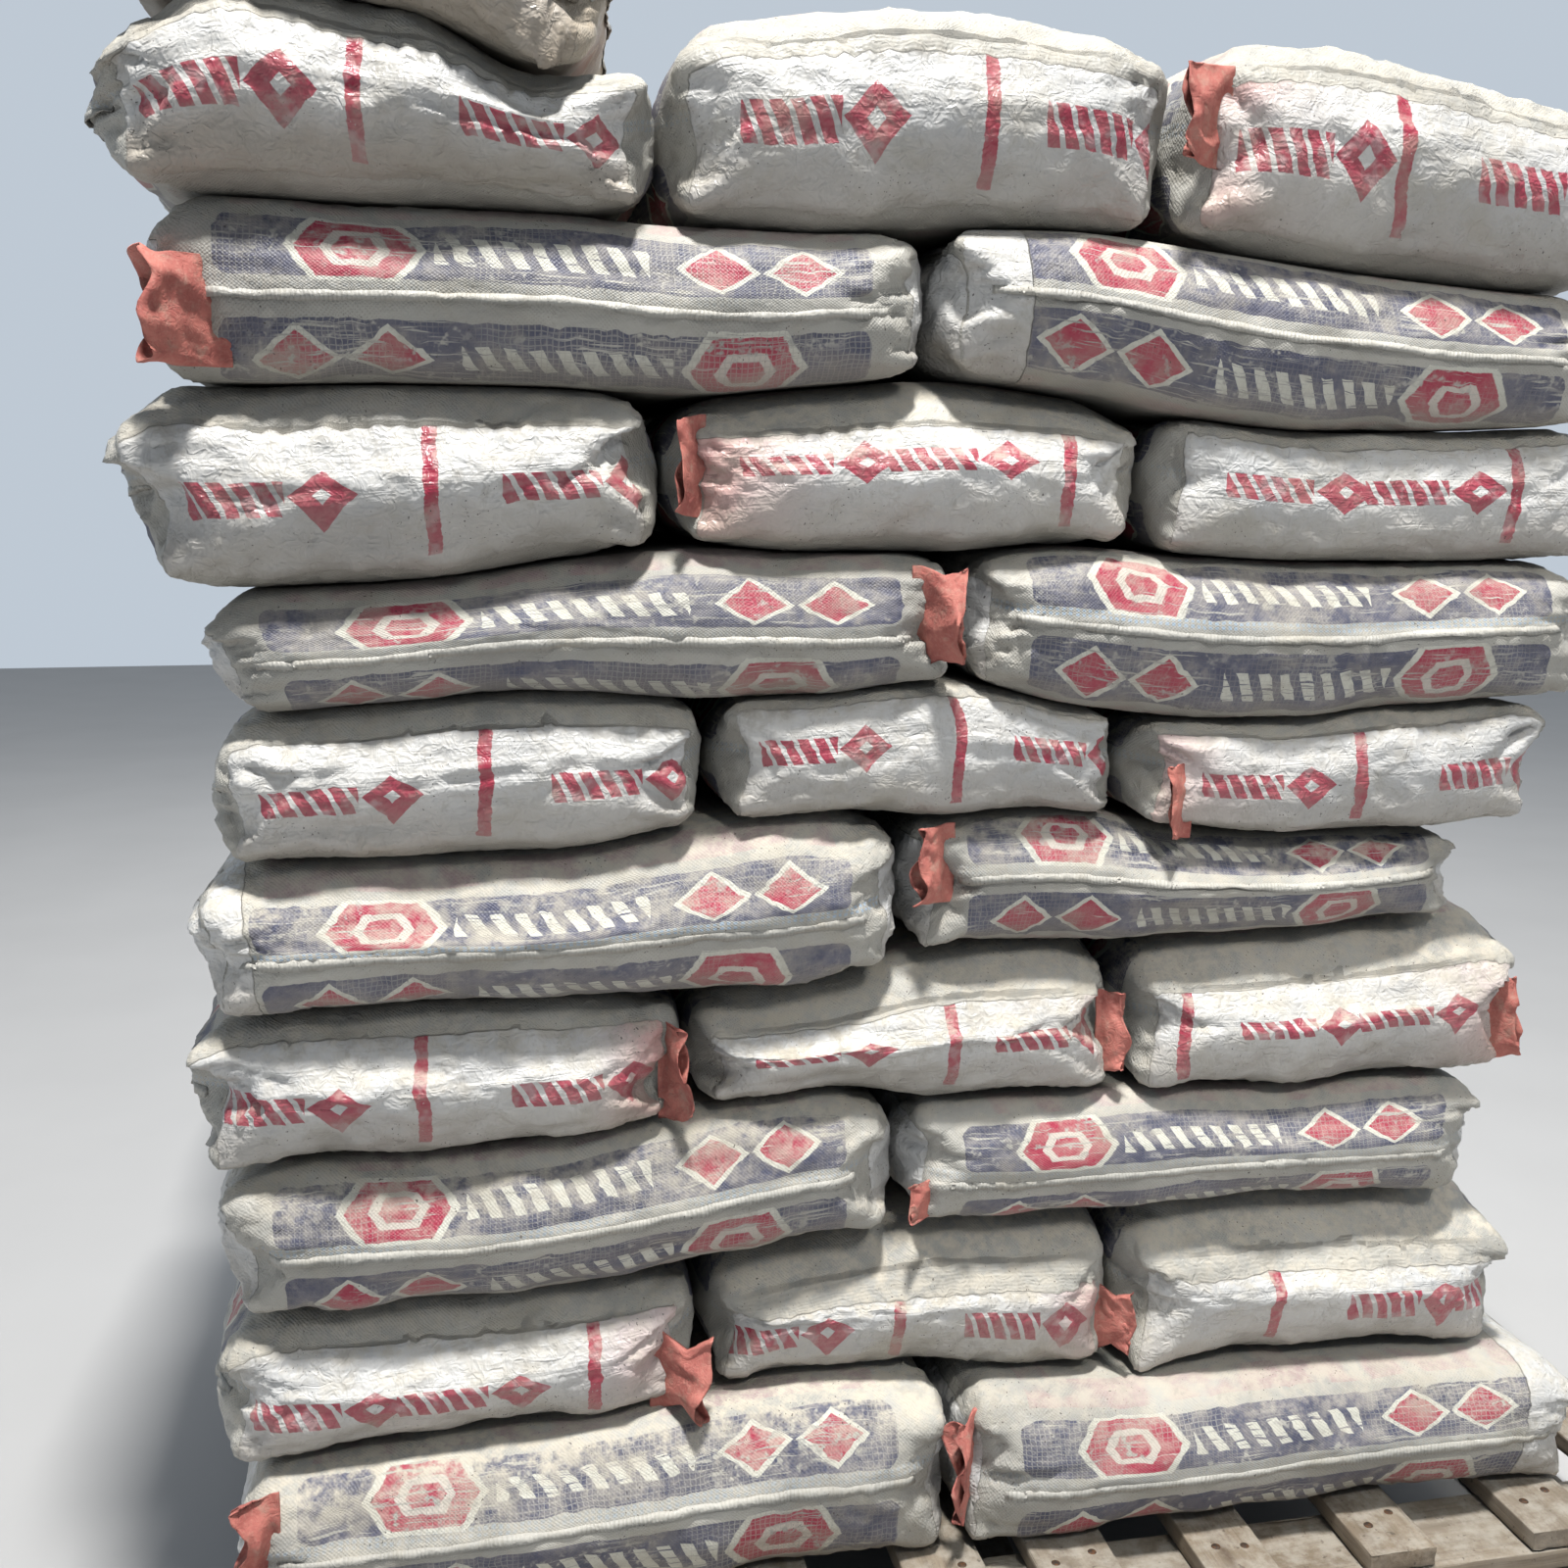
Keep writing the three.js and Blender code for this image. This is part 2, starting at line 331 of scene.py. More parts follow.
def sack_material():
    mat = bpy.data.materials.new("sack_fabric")
    N = Nodes(mat)
    l, w, e, _ = N.att("tube")
    s, t, seed, _ = N.att("endc")
    stripe_s, mark_a, mark_b, _ = N.att("pa")
    # the third pb value sets how much earth and painted shade the lower patch gets
    bleed_s, dusty, tan_and_shade, _ = N.att("pb")
    tape_amt, wear_amt, tone, _ = N.att("pc")
    mark_t, soil_and_shade = N.att("pd")[:2]
    geo = N.new("ShaderNodeNewGeometry")
    pos = geo.outputs["Position"]
    nx, ny, nz = N.sep(geo.outputs["Normal"])
    off = N.xyz(N.mul(seed, 3.1), N.mul(seed, 1.7), N.mul(seed, 2.3))
    va = N.new("ShaderNodeVectorMath", operation="ADD")
    N.put(va.inputs[0], pos)
    N.put(va.inputs[1], off)
    P = va.outputs[0]

    n_lo = N.noise(P, 7.0, 1.0)
    n_mid = N.noise(P, 30.0, 1.0)
    n_hi = N.noise(P, 260.0, 2.0)
    n_str = N.noise(N.xyz(N.mul(l, 22.0), N.mul(w, 420.0), seed), 1.0, 2.0, 0.6)
    n_zone = N.noise(N.xyz(N.mul(l, 9.0), N.mul(w, 26.0), N.add(seed, 7.0)), 1.0, 2.0)
    hi0 = N.sub(n_hi, 0.5)

    # where the glued end patch is, and where the woven tube is
    patch = N.step(N.mad(N.sub(n_mid, 0.5), 0.006, e), -0.0046, -0.0036)

    # ---- woven tube
    woven = N.mix(N.step(n_lo, 0.35, 0.65), WOVEN, WOVEN_2)
    # light tapes beside the seam
    cell = N.m("FRACT", N.mul(l, 1 / 0.0062))
    rowy = N.m("FRACT", N.mul(w, 1 / 0.0058))
    dots = N.mul(N.step(cell, 0.42, 0.5), N.step(rowy, 0.30, 0.38))
    rows = N.mul(N.step(w, 0.0050, 0.0062), N.step(w, 0.0178, 0.0168))
    tape = N.mul(N.mul(dots, rows), N.mul(N.step(n_zone, 0.28, 0.48), tape_amt))
    woven = N.mix(tape, woven, SKYTAPE)
    # dirt caught between the tapes of the weave
    cross = N.mul(N.m("SINE", N.mul(l, 2 * math.pi / 0.0036)), N.m("SINE", N.mul(w, 2 * math.pi / 0.0036)))
    gaps = N.mul(N.step(cross, 0.15, 0.75), N.step(N.noise(P, 14.0, 1.0, 0.6), 0.38, 0.62))
    woven = N.mix(N.mul(gaps, 0.42), woven, (0.23, 0.225, 0.185))

    # bands along the narrow sides, one the other way up
    low = N.step(w, 0.0, -0.0001)
    by = N.mix(low, N.xyz(N.sub(w, 0.0472), l, 0.0), N.xyz(N.mul(N.add(w, 0.0478), -1.0), N.mul(l, -1.0), 0.0))
    bs = N.sep(by)
    v, u = bs[0], bs[1]
    band_d = N.box(u, v, 0.266, 0.0290, 0.012)
    band = N.step(N.mad(hi0, 0.0010, band_d), 0.0004, -0.0004)
    ink = N.mix(N.step(n_mid, 0.35, 0.7), VIOLET, VIOLET_2)
    # pale slanted bars
    q = N.m("FRACT", N.mul(N.mad(v, 0.55, u), 1 / 0.0215))
    bars = N.mul(N.step(N.abs(N.sub(q, 0.5)), 0.27, 0.25), N.step(N.abs(v), 0.0125, 0.0119))
    bars = N.mul(bars, N.step(N.abs(N.add(u, 0.010)), 0.0870, 0.0864))
    ink = N.mix(N.mul(bars, N.step(n_str, 0.66, 0.56)), ink, PALE)
    # crimson lozenges with a pale edge
    over = None
    for cu, ru, rv, hexed in ((-0.158, 0.056, 0.0335, True), (0.134, 0.036, 0.0265, False), (0.207, 0.036, 0.0265, False)):
        au, av = N.mul(N.abs(N.sub(u, cu)), 1 / ru), N.mul(N.abs(v), 1 / rv)
        dd = N.max(av, N.mad(av, 0.38, au)) if hexed else N.add(au, av)
        dd = N.mad(hi0, 0.05, dd)
        edge_in = 0.86 if hexed else 0.80
        ink = N.mix(N.step(dd, 1.0, 0.97), ink, PALE)
        ink = N.mix(N.mul(N.step(dd, edge_in, edge_in - 0.03), N.step(n_str, 0.74, 0.64)), ink, CRIMSON)
        if hexed:
            ring = N.mul(N.step(dd, 0.30, 0.33), N.step(dd, 0.50, 0.47))
            ink = N.mix(N.mul(ring, 0.85), ink, PALE)
            over = N.step(dd, 1.0, 0.97)
    # rubbed places: thin scuffs along the sack, and worn zones
    scuff = N.mul(N.step(n_str, 0.56, 0.66), N.step(n_zone, 0.43, 0.58))
    worn = N.mul(N.step(N.noise(P, 90.0, 2.0, 0.7), 0.55, 0.70), N.step(n_zone, 0.38, 0.56))
    # bare threads of the weave where the print has rubbed off
    thread = N.max(N.step(N.m("SINE", N.mul(l, 2 * math.pi / 0.0048)), 0.70, 0.96), N.step(N.m("SINE", N.mul(w, 2 * math.pi / 0.0048)), 0.70, 0.96))
    thread = N.mul(thread, N.step(N.noise(P, 9.0, 2.0, 0.6), 0.42, 0.62))
    worn = N.max(worn, N.mul(thread, 0.5))
    wear = N.mul(N.max(scuff, N.mul(worn, 0.8)), wear_amt)
    woven = N.mix(N.mul(N.max(band, over), N.sub(1.0, wear)), woven, ink)
    # faded frame on the broad faces
    wf = N.abs(w)
    fr = N.mul(N.step(wf, 0.088, 0.089), N.step(wf, 0.122, 0.121))
    fr2 = N.mul(N.step(N.abs(l), 0.222, 0.223), N.step(N.abs(l), 0.255, 0.254))
    fr = N.mul(N.max(N.mul(fr, N.step(N.abs(l), 0.255, 0.254)), N.mul(fr2, N.step(wf, 0.088, 0.089))), N.mul(N.step(n_mid, 0.36, 0.56), 0.30))
    woven = N.mix(fr, woven, (0.47, 0.16, 0.19))

    # ---- end patch
    film = N.mix(N.step(n_lo, 0.35, 0.7), PATCH, PATCH_2)
    wob = N.mul(N.sub(N.noise(N.xyz(t, seed, 0.0), 14.0, 1.0), 0.5), 0.016)
    sx = N.sub(N.sub(s, stripe_s), wob)
    stripe = N.step(N.mad(hi0, 0.0030, N.abs(sx)), 0.0066, 0.0058)
    stripe = N.mul(stripe, N.mul(N.step(t, -0.0525, -0.0510), N.step(n_hi, 0.80, 0.68)))
    rub = N.step(N.noise(P, 45.0, 2.0, 0.65), 0.66, 0.52)
    crim = N.mul(stripe, N.fmix(rub, 0.72, 1.0))
    tt = N.sub(N.mad(hi0, 0.0012, t), mark_t)
    for mk in (mark_a, mark_b):
        x = N.sub(s, mk)
        q = N.m("FRACT", N.mul(N.mad(tt, 0.42, x), 1 / 0.0172))
        bar = N.mul(N.step(N.abs(N.sub(q, 0.5)), 0.36, 0.33), N.step(N.abs(N.add(tt, 0.006)), 0.0165, 0.0157))
        bar = N.mul(bar, N.step(N.abs(x), 0.0430, 0.0422))
        dx = N.abs(N.sub(x, 0.0730))
        loz = N.add(N.mul(dx, 1 / 0.0290), N.mul(N.abs(N.add(tt, 0.006)), 1 / 0.0290))
        loz = N.mul(N.step(loz, 1.0, 0.96), N.step(loz, 0.26, 0.30))
        crim = N.max(crim, N.mul(N.max(bar, loz), N.fmix(rub, 0.62, 0.95)))
    # dye that bled from the valve paper
    bl = N.m("EXPONENT", N.mul(N.m("POWER", N.mul(N.sub(s, bleed_s), 1 / 0.062), 2.0), -1.0))
    bl = N.mul(bl, N.mul(N.step(n_lo, 0.25, 0.65), 0.75))
    film = N.mix(bl, film, (0.66, 0.30, 0.27))
    film = N.mix(crim, film, CRIMSON)
    # earth and painted shade on the lower part of the patch: it is darkened and warmed as if out of the light
    earth_and_shade = N.mul(N.step(N.mad(N.sub(n_mid, 0.5), 0.034, t), -0.004, -0.046), N.mul(N.mul(tan_and_shade, 0.85), N.mad(crim, -0.55, 1.0)))
    film = N.mix(earth_and_shade, film, SHADED_TAN)

    base = N.mix(patch, woven, film)

    # ---- dust, dirt and painted shade over both
    up = N.step(nz, 0.15, 0.95)
    grime = N.noise(P, 55.0, 3.0, 0.72)
    dust = N.mul(N.step(grime, 0.34, 0.64), N.mad(up, 0.84, 0.16))
    dust = N.m("MULTIPLY", dust, dusty, clamp=True)
    base = N.mix(dust, base, DUST)
    # soil and painted shade: the sack on top is browned and darkened, partly dirt, partly its shade and warm bounce
    # light
    base = N.mix(N.mul(soil_and_shade, N.mad(grime, 0.6, 0.45)), base, (0.400, 0.325, 0.238))
    # painted shade: faces that look downward are darkened, as if out of the light
    underside_shade = N.step(nz, -0.25, -0.85)
    base = N.mix(N.mul(underside_shade, 0.55), base, (0.32, 0.290, 0.245))
    streak = N.mul(N.step(N.noise(P, 12.0, 4.0, 0.75), 0.50, 0.70), 0.42)
    base = N.mix(streak, base, (0.40, 0.37, 0.30))
    smudge = N.mul(N.step(N.noise(P, 30.0, 4.0, 0.80), 0.535, 0.66), 0.38)
    base = N.mix(smudge, base, (0.370, 0.345, 0.300))
    spk = N.mul(N.step(N.noise(P, 400.0, 1.0), 0.70, 0.75), N.step(N.noise(P, 16.0, 1.0), 0.45, 0.60))
    base = N.mix(N.mul(spk, 0.85), base, (0.06, 0.05, 0.045))
    edge_line = N.mul(N.step(N.abs(N.add(e, 0.0042)), 0.0016, 0.0004), 0.35)
    base = N.mix(edge_line, base, (0.33, 0.31, 0.27))
    shade = N.new("ShaderNodeVectorMath", operation="SCALE")
    N.put(shade.inputs[0], base)
    N.put(shade.inputs[3], N.add(tone, 1.0))
    base = shade.outputs[0]

    # ---- relief, in millimetres
    def ripple(c, pitch):
        return N.m("SINE", N.mul(c, 2 * math.pi / pitch))
    weave = N.mul(N.add(N.mul(ripple(l, 0.0036), ripple(w, 0.0036)), N.mul(ripple(N.add(l, w), 0.0036), 0.2)), 0.15)
    weave = N.mul(weave, N.sub(1.0, patch))
    cr = N.noise(P, 75.0, 2.0, 0.6, 0.6)
    ridge = N.sub(1.0, N.abs(N.mul(N.sub(cr, 0.5), 4.0)))
    near_end = N.m("EXPONENT", N.mul(N.m("MAXIMUM", N.mul(e, -1.0), 0.0), -22.0))
    crinkle = N.mul(ridge, N.mad(near_end, 0.75, 0.28))
    long_cr = N.noise(N.xyz(N.mul(s, 14.0), N.mul(t, 110.0), N.add(seed, 3.0)), 1.0, 1.0, 0.6, 0.8)
    fold = N.mul(N.mul(N.sub(1.0, N.abs(N.mul(N.sub(long_cr, 0.5), 5.0))), 0.30), patch)
    fine = N.mul(N.noise(P, 300.0, 1.0, 0.7), 0.36)
    warp = N.xyz(N.mad(N.sub(n_mid, 0.5), 0.030, s), N.mad(N.sub(n_mid, 0.5), 0.020, N.mul(t, 1.7)), seed)
    # one cell pattern: facets on the film, tufts on the woven cloth
    cells = N.vor(N.mix(patch, N.xyz(N.mul(l, 0.55 * 62.0), N.mul(w, 62.0), seed), N.scaled(warp, 34.0)), 1.0)
    facet = N.mul(N.mul(N.mul(cells, 1.5), patch), N.step(n_lo, 0.25, 0.60))
    tuft = N.mul(N.mul(cells, 0.9), N.mul(N.sub(1.0, patch), N.mad(near_end, 0.9, 0.15)))
    height = N.add(N.add(weave, crinkle), N.add(fold, fine))
    height = N.add(height, N.add(facet, tuft))
    height = N.add(height, N.mul(patch, 0.35))
    bump = N.new("ShaderNodeBump")
    bump.inputs["Strength"].default_value = 1.0
    bump.inputs["Distance"].default_value = 0.001
    N.put(bump.inputs["Height"], height)

    rough = N.fmix(patch, 0.50, 0.30)
    rough = N.add(rough, N.mul(N.sub(n_mid, 0.5), 0.25))
    rough = N.fmix(dust, rough, 0.92)
    bsdf = N.new("ShaderNodeBsdfPrincipled")
    N.put(bsdf.inputs["Base Color"], base)
    N.put(bsdf.inputs["Roughness"], rough)
    N.put(bsdf.inputs["Normal"], bump.outputs[0])
    bsdf.inputs["Specular IOR Level"].default_value = 0.42
    N.out(bsdf.outputs[0])
    return mat


def paper_material():
    mat = bpy.data.materials.new("valve_paper")
    N = Nodes(mat)
    geo = N.new("ShaderNodeNewGeometry")
    P = geo.outputs["Position"]
    n1 = N.noise(P, 35.0, 4.0, 0.6)
    n2 = N.noise(P, 300.0, 3.0, 0.6)
    # a lit salmon and a darker painted-shade copy of it, mixed in blotches by noise
    col = N.mix(N.step(n1, 0.3, 0.7), (0.560, 0.200, 0.162), (0.400, 0.122, 0.104))
    col = N.mix(N.mul(N.step(n2, 0.45, 0.7), 0.25), col, (0.62, 0.34, 0.28))
    grime = N.mul(N.step(N.noise(P, 60.0, 5.0, 0.7), 0.50, 0.72), 0.55)
    col = N.mix(grime, col, (0.46, 0.33, 0.26))
    cr = N.noise(P, 110.0, 3.0, 0.6, 0.8)
    h = N.add(N.mul(N.sub(1.0, N.abs(N.mul(N.sub(cr, 0.5), 4.0))), 0.5), N.mul(n2, 0.12))
    bump = N.new("ShaderNodeBump")
    bump.inputs["Distance"].default_value = 0.001
    N.put(bump.inputs["Height"], h)
    bsdf = N.new("ShaderNodeBsdfPrincipled")
    N.put(bsdf.inputs["Base Color"], col)
    N.put(bsdf.inputs["Roughness"], N.mad(n1, 0.2, 0.62))
    N.put(bsdf.inputs["Normal"], bump.outputs[0])
    bsdf.inputs["Specular IOR Level"].default_value = 0.3
    N.out(bsdf.outputs[0])
    return mat


def wood_material():
    mat = bpy.data.materials.new("pallet_wood")
    N = Nodes(mat)
    a, b, c, _ = N.att("grain")
    geo = N.new("ShaderNodeNewGeometry")
    P = geo.outputs["Position"]
    nz = N.sep(geo.outputs["Normal"])[2]
    g1 = N.noise(N.xyz(N.mul(a, 2.2), N.mul(b, 34.0), N.mul(c, 34.0)), 1.0, 5.0, 0.62, 0.7)
    g2 = N.noise(N.xyz(N.mul(a, 9.0), N.mul(b, 240.0), N.mul(c, 240.0)), 1.0, 4.0, 0.6)
    g3 = N.noise(N.xyz(N.mul(a, 40.0), N.mul(b, 900.0), N.mul(c, 900.0)), 1.0, 2.0, 0.6)
    col = N.mix(N.step(g1, 0.32, 0.68), (0.262, 0.212, 0.155), (0.165, 0.128, 0.090))
    col = N.mix(N.mul(N.step(g2, 0.46, 0.68), 0.55), col, (0.120, 0.086, 0.060))
    patchy = N.noise(P, 6.0, 3.0, 0.6)
    col = N.mix(N.mul(N.step(patchy, 0.35, 0.7), 0.50), col, (0.300, 0.270, 0.225))
    dust = N.mul(N.step(N.noise(P, 38.0, 5.0, 0.7), 0.36, 0.66), N.mad(N.step(nz, 0.3, 0.95), 0.45, 0.12))
    col = N.mix(dust, col, (0.450, 0.425, 0.372))
    knot = N.vor(N.xyz(N.mul(a, 4.5), N.mul(b, 15.0), N.mul(c, 15.0)), 1.0)
    kd = N.step(knot, 0.17, 0.10)
    col = N.mix(N.mul(kd, 0.8), col, (0.085, 0.052, 0.034))
    spots = N.mul(N.step(N.noise(P, 150.0, 2.0), 0.66, 0.74), 0.6)
    col = N.mix(spots, col, (0.07, 0.055, 0.045))
    crack = N.mul(N.step(g2, 0.30, 0.22), 0.8)
    col = N.mix(crack, col, (0.05, 0.038, 0.03))
    h = N.add(N.mul(g2, 0.9), N.mul(g3, 0.35))
    h = N.sub(h, N.mul(crack, 0.8))
    bump = N.new("ShaderNodeBump")
    bump.inputs["Distance"].default_value = 0.001
    N.put(bump.inputs["Height"], h)
    bsdf = N.new("ShaderNodeBsdfPrincipled")
    N.put(bsdf.inputs["Base Color"], col)
    N.put(bsdf.inputs["Roughness"], N.mad(g2, 0.2, 0.72))
    N.put(bsdf.inputs["Normal"], bump.outputs[0])
    bsdf.inputs["Specular IOR Level"].default_value = 0.25
    N.out(bsdf.outputs[0])
    return mat


def nail_material():
    mat = bpy.data.materials.new("nail_head")
    N = Nodes(mat)
    geo = N.new("ShaderNodeNewGeometry")
    n = N.noise(geo.outputs["Position"], 400.0, 3.0)
    col = N.mix(N.step(n, 0.4, 0.65), (0.07, 0.055, 0.045), (0.16, 0.075, 0.035))
    bsdf = N.new("ShaderNodeBsdfPrincipled")
    N.put(bsdf.inputs["Base Color"], col)
    N.put(bsdf.inputs["Roughness"], N.mad(n, 0.4, 0.45))
    bsdf.inputs["Metallic"].default_value = 0.6
    N.out(bsdf.outputs[0])
    return mat


SACK = sack_material()
PAPER = paper_material()
WOOD = wood_material()
NAIL = nail_material()

# ------------------------------------------------------------------ simulated sacks
L2, W2, H2 = 0.31, 0.215, 0.065      # half sizes in the sack's own print coordinates
BASE_R = 0.022


def rounded(P, half, r, power=2.3):
    q = np.clip(P, -(half - r), half - r)
    d = (P - q) / r
    n = (np.abs(d) ** power).sum(1) ** (1 / power)
    return q + r * d / np.maximum(n, 1e-9)[:, None]


def graded(half, spacing, arcs=4):
    """Line positions: even arcs over the rounded edges, and between them steps of spacing(x)."""
    a = np.tan(np.radians(np.linspace(45, 0, arcs + 1)))
    left = -(half - BASE_R) - BASE_R * a
    x = np.linspace(left[-1], -left[-1], 1501)
    st = spacing(x)
    cum = np.concatenate([[0], np.cumsum(np.diff(x) * 2 / (st[1:] + st[:-1]))])
    n = max(2, int(round(cum[-1])))
    mid = np.interp(np.linspace(0, cum[-1], n + 1), cum, x)
    return np.concatenate([left[:-1], mid, -left[:-1][::-1]])


class Swell:
    """How the cloth of a filled sack moved, from its rounded box, at points on that box."""

    def __init__(self, lines3, idx, D):
        self.n, self.idx, self.D = lines3, idx, D

    def at(self, q):
        out = np.zeros((len(q), 3))
        todo = np.ones(len(q), bool)
        for ax in range(3):
            b, c = [k for k in range(3) if k != ax]
            for sg in (-1, 1):
                m = todo & (q[:, ax] * sg > 1 - 1e-7)
                if not m.any():
                    continue
                face = self.idx.take(-1 if sg > 0 else 0, axis=ax)
                w = []
                for k, ln in ((b, self.n[b]), (c, self.n[c])):
                    x = np.clip(q[m, k], -1, 1)
                    i = np.clip(np.searchsorted(ln, x) - 1, 0, len(ln) - 2)
                    t = (x - ln[i]) / (ln[i + 1] - ln[i])
                    ii = np.clip(i[:, None] + np.arange(-1, 3)[None], 0, len(ln) - 1)
                    ww = np.stack([-0.5 * t + t * t - 0.5 * t ** 3, 1 - 2.5 * t * t + 1.5 * t ** 3,
                                   0.5 * t + 2 * t * t - 1.5 * t ** 3, -0.5 * t * t + 0.5 * t ** 3], 1)
                    w.append((ii, ww))
                (i4, wi), (j4, wj) = w
                acc = np.zeros((m.sum(), 3))
                for u in range(4):
                    for v in range(4):
                        acc += (wi[:, u] * wj[:, v])[:, None] * self.D[face[i4[:, u], j4[:, v]]]
                out[m] = acc
                todo &= ~m
        return out


def simulate(configs, frames=16, X=0.62, Y=0.43, H=0.13):
    """Fill block-bottom sacks with Blender's cloth: closed cloth with a pressure inside, spare
    length near the glued ends, and the broad faces held where other sacks lie on them."""
    half = np.array([X / 2, Y / 2, H / 2])
    edge = lambda hf: (lambda x: 0.0065 + 0.0045 * np.clip((hf - np.abs(x) - 0.11) / 0.05, 0, 1))
    g = [graded(half[0], edge(half[0])), graded(half[1], edge(half[1])), graded(half[2], lambda x: 0.0065 + 0 * x)]
    P, F, idx = box_grid(*g)
    base = rounded(P, half, BASE_R)
    nrm = normals(base, F)
    dx = X / 2 - np.abs(base[:, 0])
    dy = Y / 2 - np.abs(base[:, 1])
    broad = np.abs(P[:, 2]) > half[2] - 1e-6
    pin = np.clip((np.minimum(dx, dy) - 0.042) / 0.03, 0, 1) * broad
    obs = []
    for seed, grow, grow_l, pressure, bend, ten, lump in configs:
        rng = np.random.default_rng(seed)
        ang = rng.uniform(0, 6.28, 8)
        w = np.exp(-np.maximum(dx, 0) / 0.06)
        var = 0.6 + 0.4 * np.sin(9 * base[:, 1] + ang[0]) * np.sin(31 * base[:, 2] + ang[1])
        rest = base.copy()
        rest[:, 1] *= 1 + grow * w * var + 0.004
        rest[:, 2] *= 1 + (grow * w * var + 0.004) * 1.4
        rest[:, 0] *= 1 + grow_l
        dent = lump * (np.sin(40 * base[:, 0] + ang[2] + 9 * base[:, 1]) * np.sin(55 * base[:, 2] + ang[3] + 12 * base[:, 0])
                       + 0.7 * np.sin(37 * base[:, 1] + ang[4] + 20 * base[:, 2]))
        start = base + nrm * (dent * (1 - pin))[:, None] + rng.normal(0, 0.0005, base.shape) * (1 - pin)[:, None]
        ob = make_object(f"fill_{seed}", start, F, {}, None)
        ob.shape_key_add(name="Basis", from_mix=False)
        key = ob.shape_key_add(name="rest", from_mix=False)
        key.data.foreach_set("co", rest.astype(np.float32).ravel())
        vg = ob.vertex_groups.new(name="pin")
        for v in np.unique(np.round(pin, 2)):
            if v > 0:
                vg.add([int(i) for i in np.nonzero(np.round(pin, 2) == v)[0]], float(v), "REPLACE")
        md = ob.modifiers.new("cloth", "CLOTH")
        c = md.settings
        c.quality = 4
        c.mass = 0.3
        c.tension_stiffness = c.compression_stiffness = ten
        c.shear_stiffness = ten * 0.3
        c.bending_stiffness = bend
        c.tension_damping = c.compression_damping = c.shear_damping = 5
        c.bending_damping = 0.5
        c.air_damping = 2
        c.use_pressure = True
        c.uniform_pressure_force = pressure
        c.vertex_group_mass = "pin"
        c.pin_stiffness = 5
        c.rest_shape_key = key
        c.effector_weights.gravity = 0
        md.collision_settings.use_collision = False
        md.collision_settings.use_self_collision = False
        md.point_cache.frame_start = 1
        md.point_cache.frame_end = frames
        obs.append(ob)
    sc = bpy.context.scene
    keep = sc.frame_current, sc.frame_start, sc.frame_end
    sc.frame_start, sc.frame_end = 1, frames
    for f in range(1, frames + 1):
        sc.frame_set(f)
    dg = bpy.context.evaluated_depsgraph_get()
    out = []
    for ob in obs:
        ev = ob.evaluated_get(dg)
        me = ev.to_mesh()
        co = np.empty(len(me.vertices) * 3, np.float32)
        me.vertices.foreach_get("co", co)
        ev.to_mesh_clear()
        D = co.reshape(-1, 3).astype(float) - base
        n = np.linalg.norm(D, axis=1)
        D *= np.minimum(1, 0.026 / np.maximum(n, 1e-9))[:, None]     # cap on the move
        out.append(Swell([g[k] / half[k] for k in range(3)], idx, D))
    for ob in obs:
        me = ob.data
        ob.modifiers.clear()
        bpy.data.objects.remove(ob)
        bpy.data.meshes.remove(me)
    sc.frame_start, sc.frame_end = keep[1], keep[2]
    sc.frame_set(keep[0])
    return out


class Puff:
    def at(self, q):
        f = lambda x: 1 - np.abs(x) ** 2.4
        bx = (np.abs(q[:, 0]) > 1 - 1e-7) * np.sign(q[:, 0]) * f(q[:, 1]) * f(q[:, 2])
        by = (np.abs(q[:, 1]) > 1 - 1e-7) * np.sign(q[:, 1]) * f(q[:, 0]) * f(q[:, 2])
        return 0.017 * np.stack([bx, by, 0 * bx], 1)


SWELL = simulate([
    (1, 0.04, 0.010, 4.0, 0.10, 15.0, 0.0020),
    (2, 0.08, 0.010, 4.0, 0.05, 30.0, 0.0024),
    (3, 0.05, 0.020, 10.0, 0.10, 40.0, 0.0022),
    (4, 0.10, 0.004, 10.0, 0.02, 15.0, 0.0020),
])


# ------------------------------------------------------------------ sacks
def creases(p, segs):
    """Sum of sharp folds along 3D segments; segs are (start, end, height, width)."""
    d = np.zeros(len(p))
    for a, b, hgt, sg in segs:
        ab = b - a
        lo, hi = np.minimum(a, b) - 4 * sg, np.maximum(a, b) + 4 * sg
        m = np.nonzero(((p > lo) & (p < hi)).all(1))[0]
        if not len(m):
            continue
        pm = p[m]
        t = np.clip(((pm - a) @ ab) / max(ab @ ab, 1e-9), 0, 1)
        r = np.linalg.norm(pm - a - t[:, None] * ab, axis=1)
        taper = np.sqrt(np.clip(4 * t * (1 - t), 0, 1)) * 0.75 + 0.25
        d[m] += hgt * taper * np.exp(-(r / sg) ** 1.3)
    return d


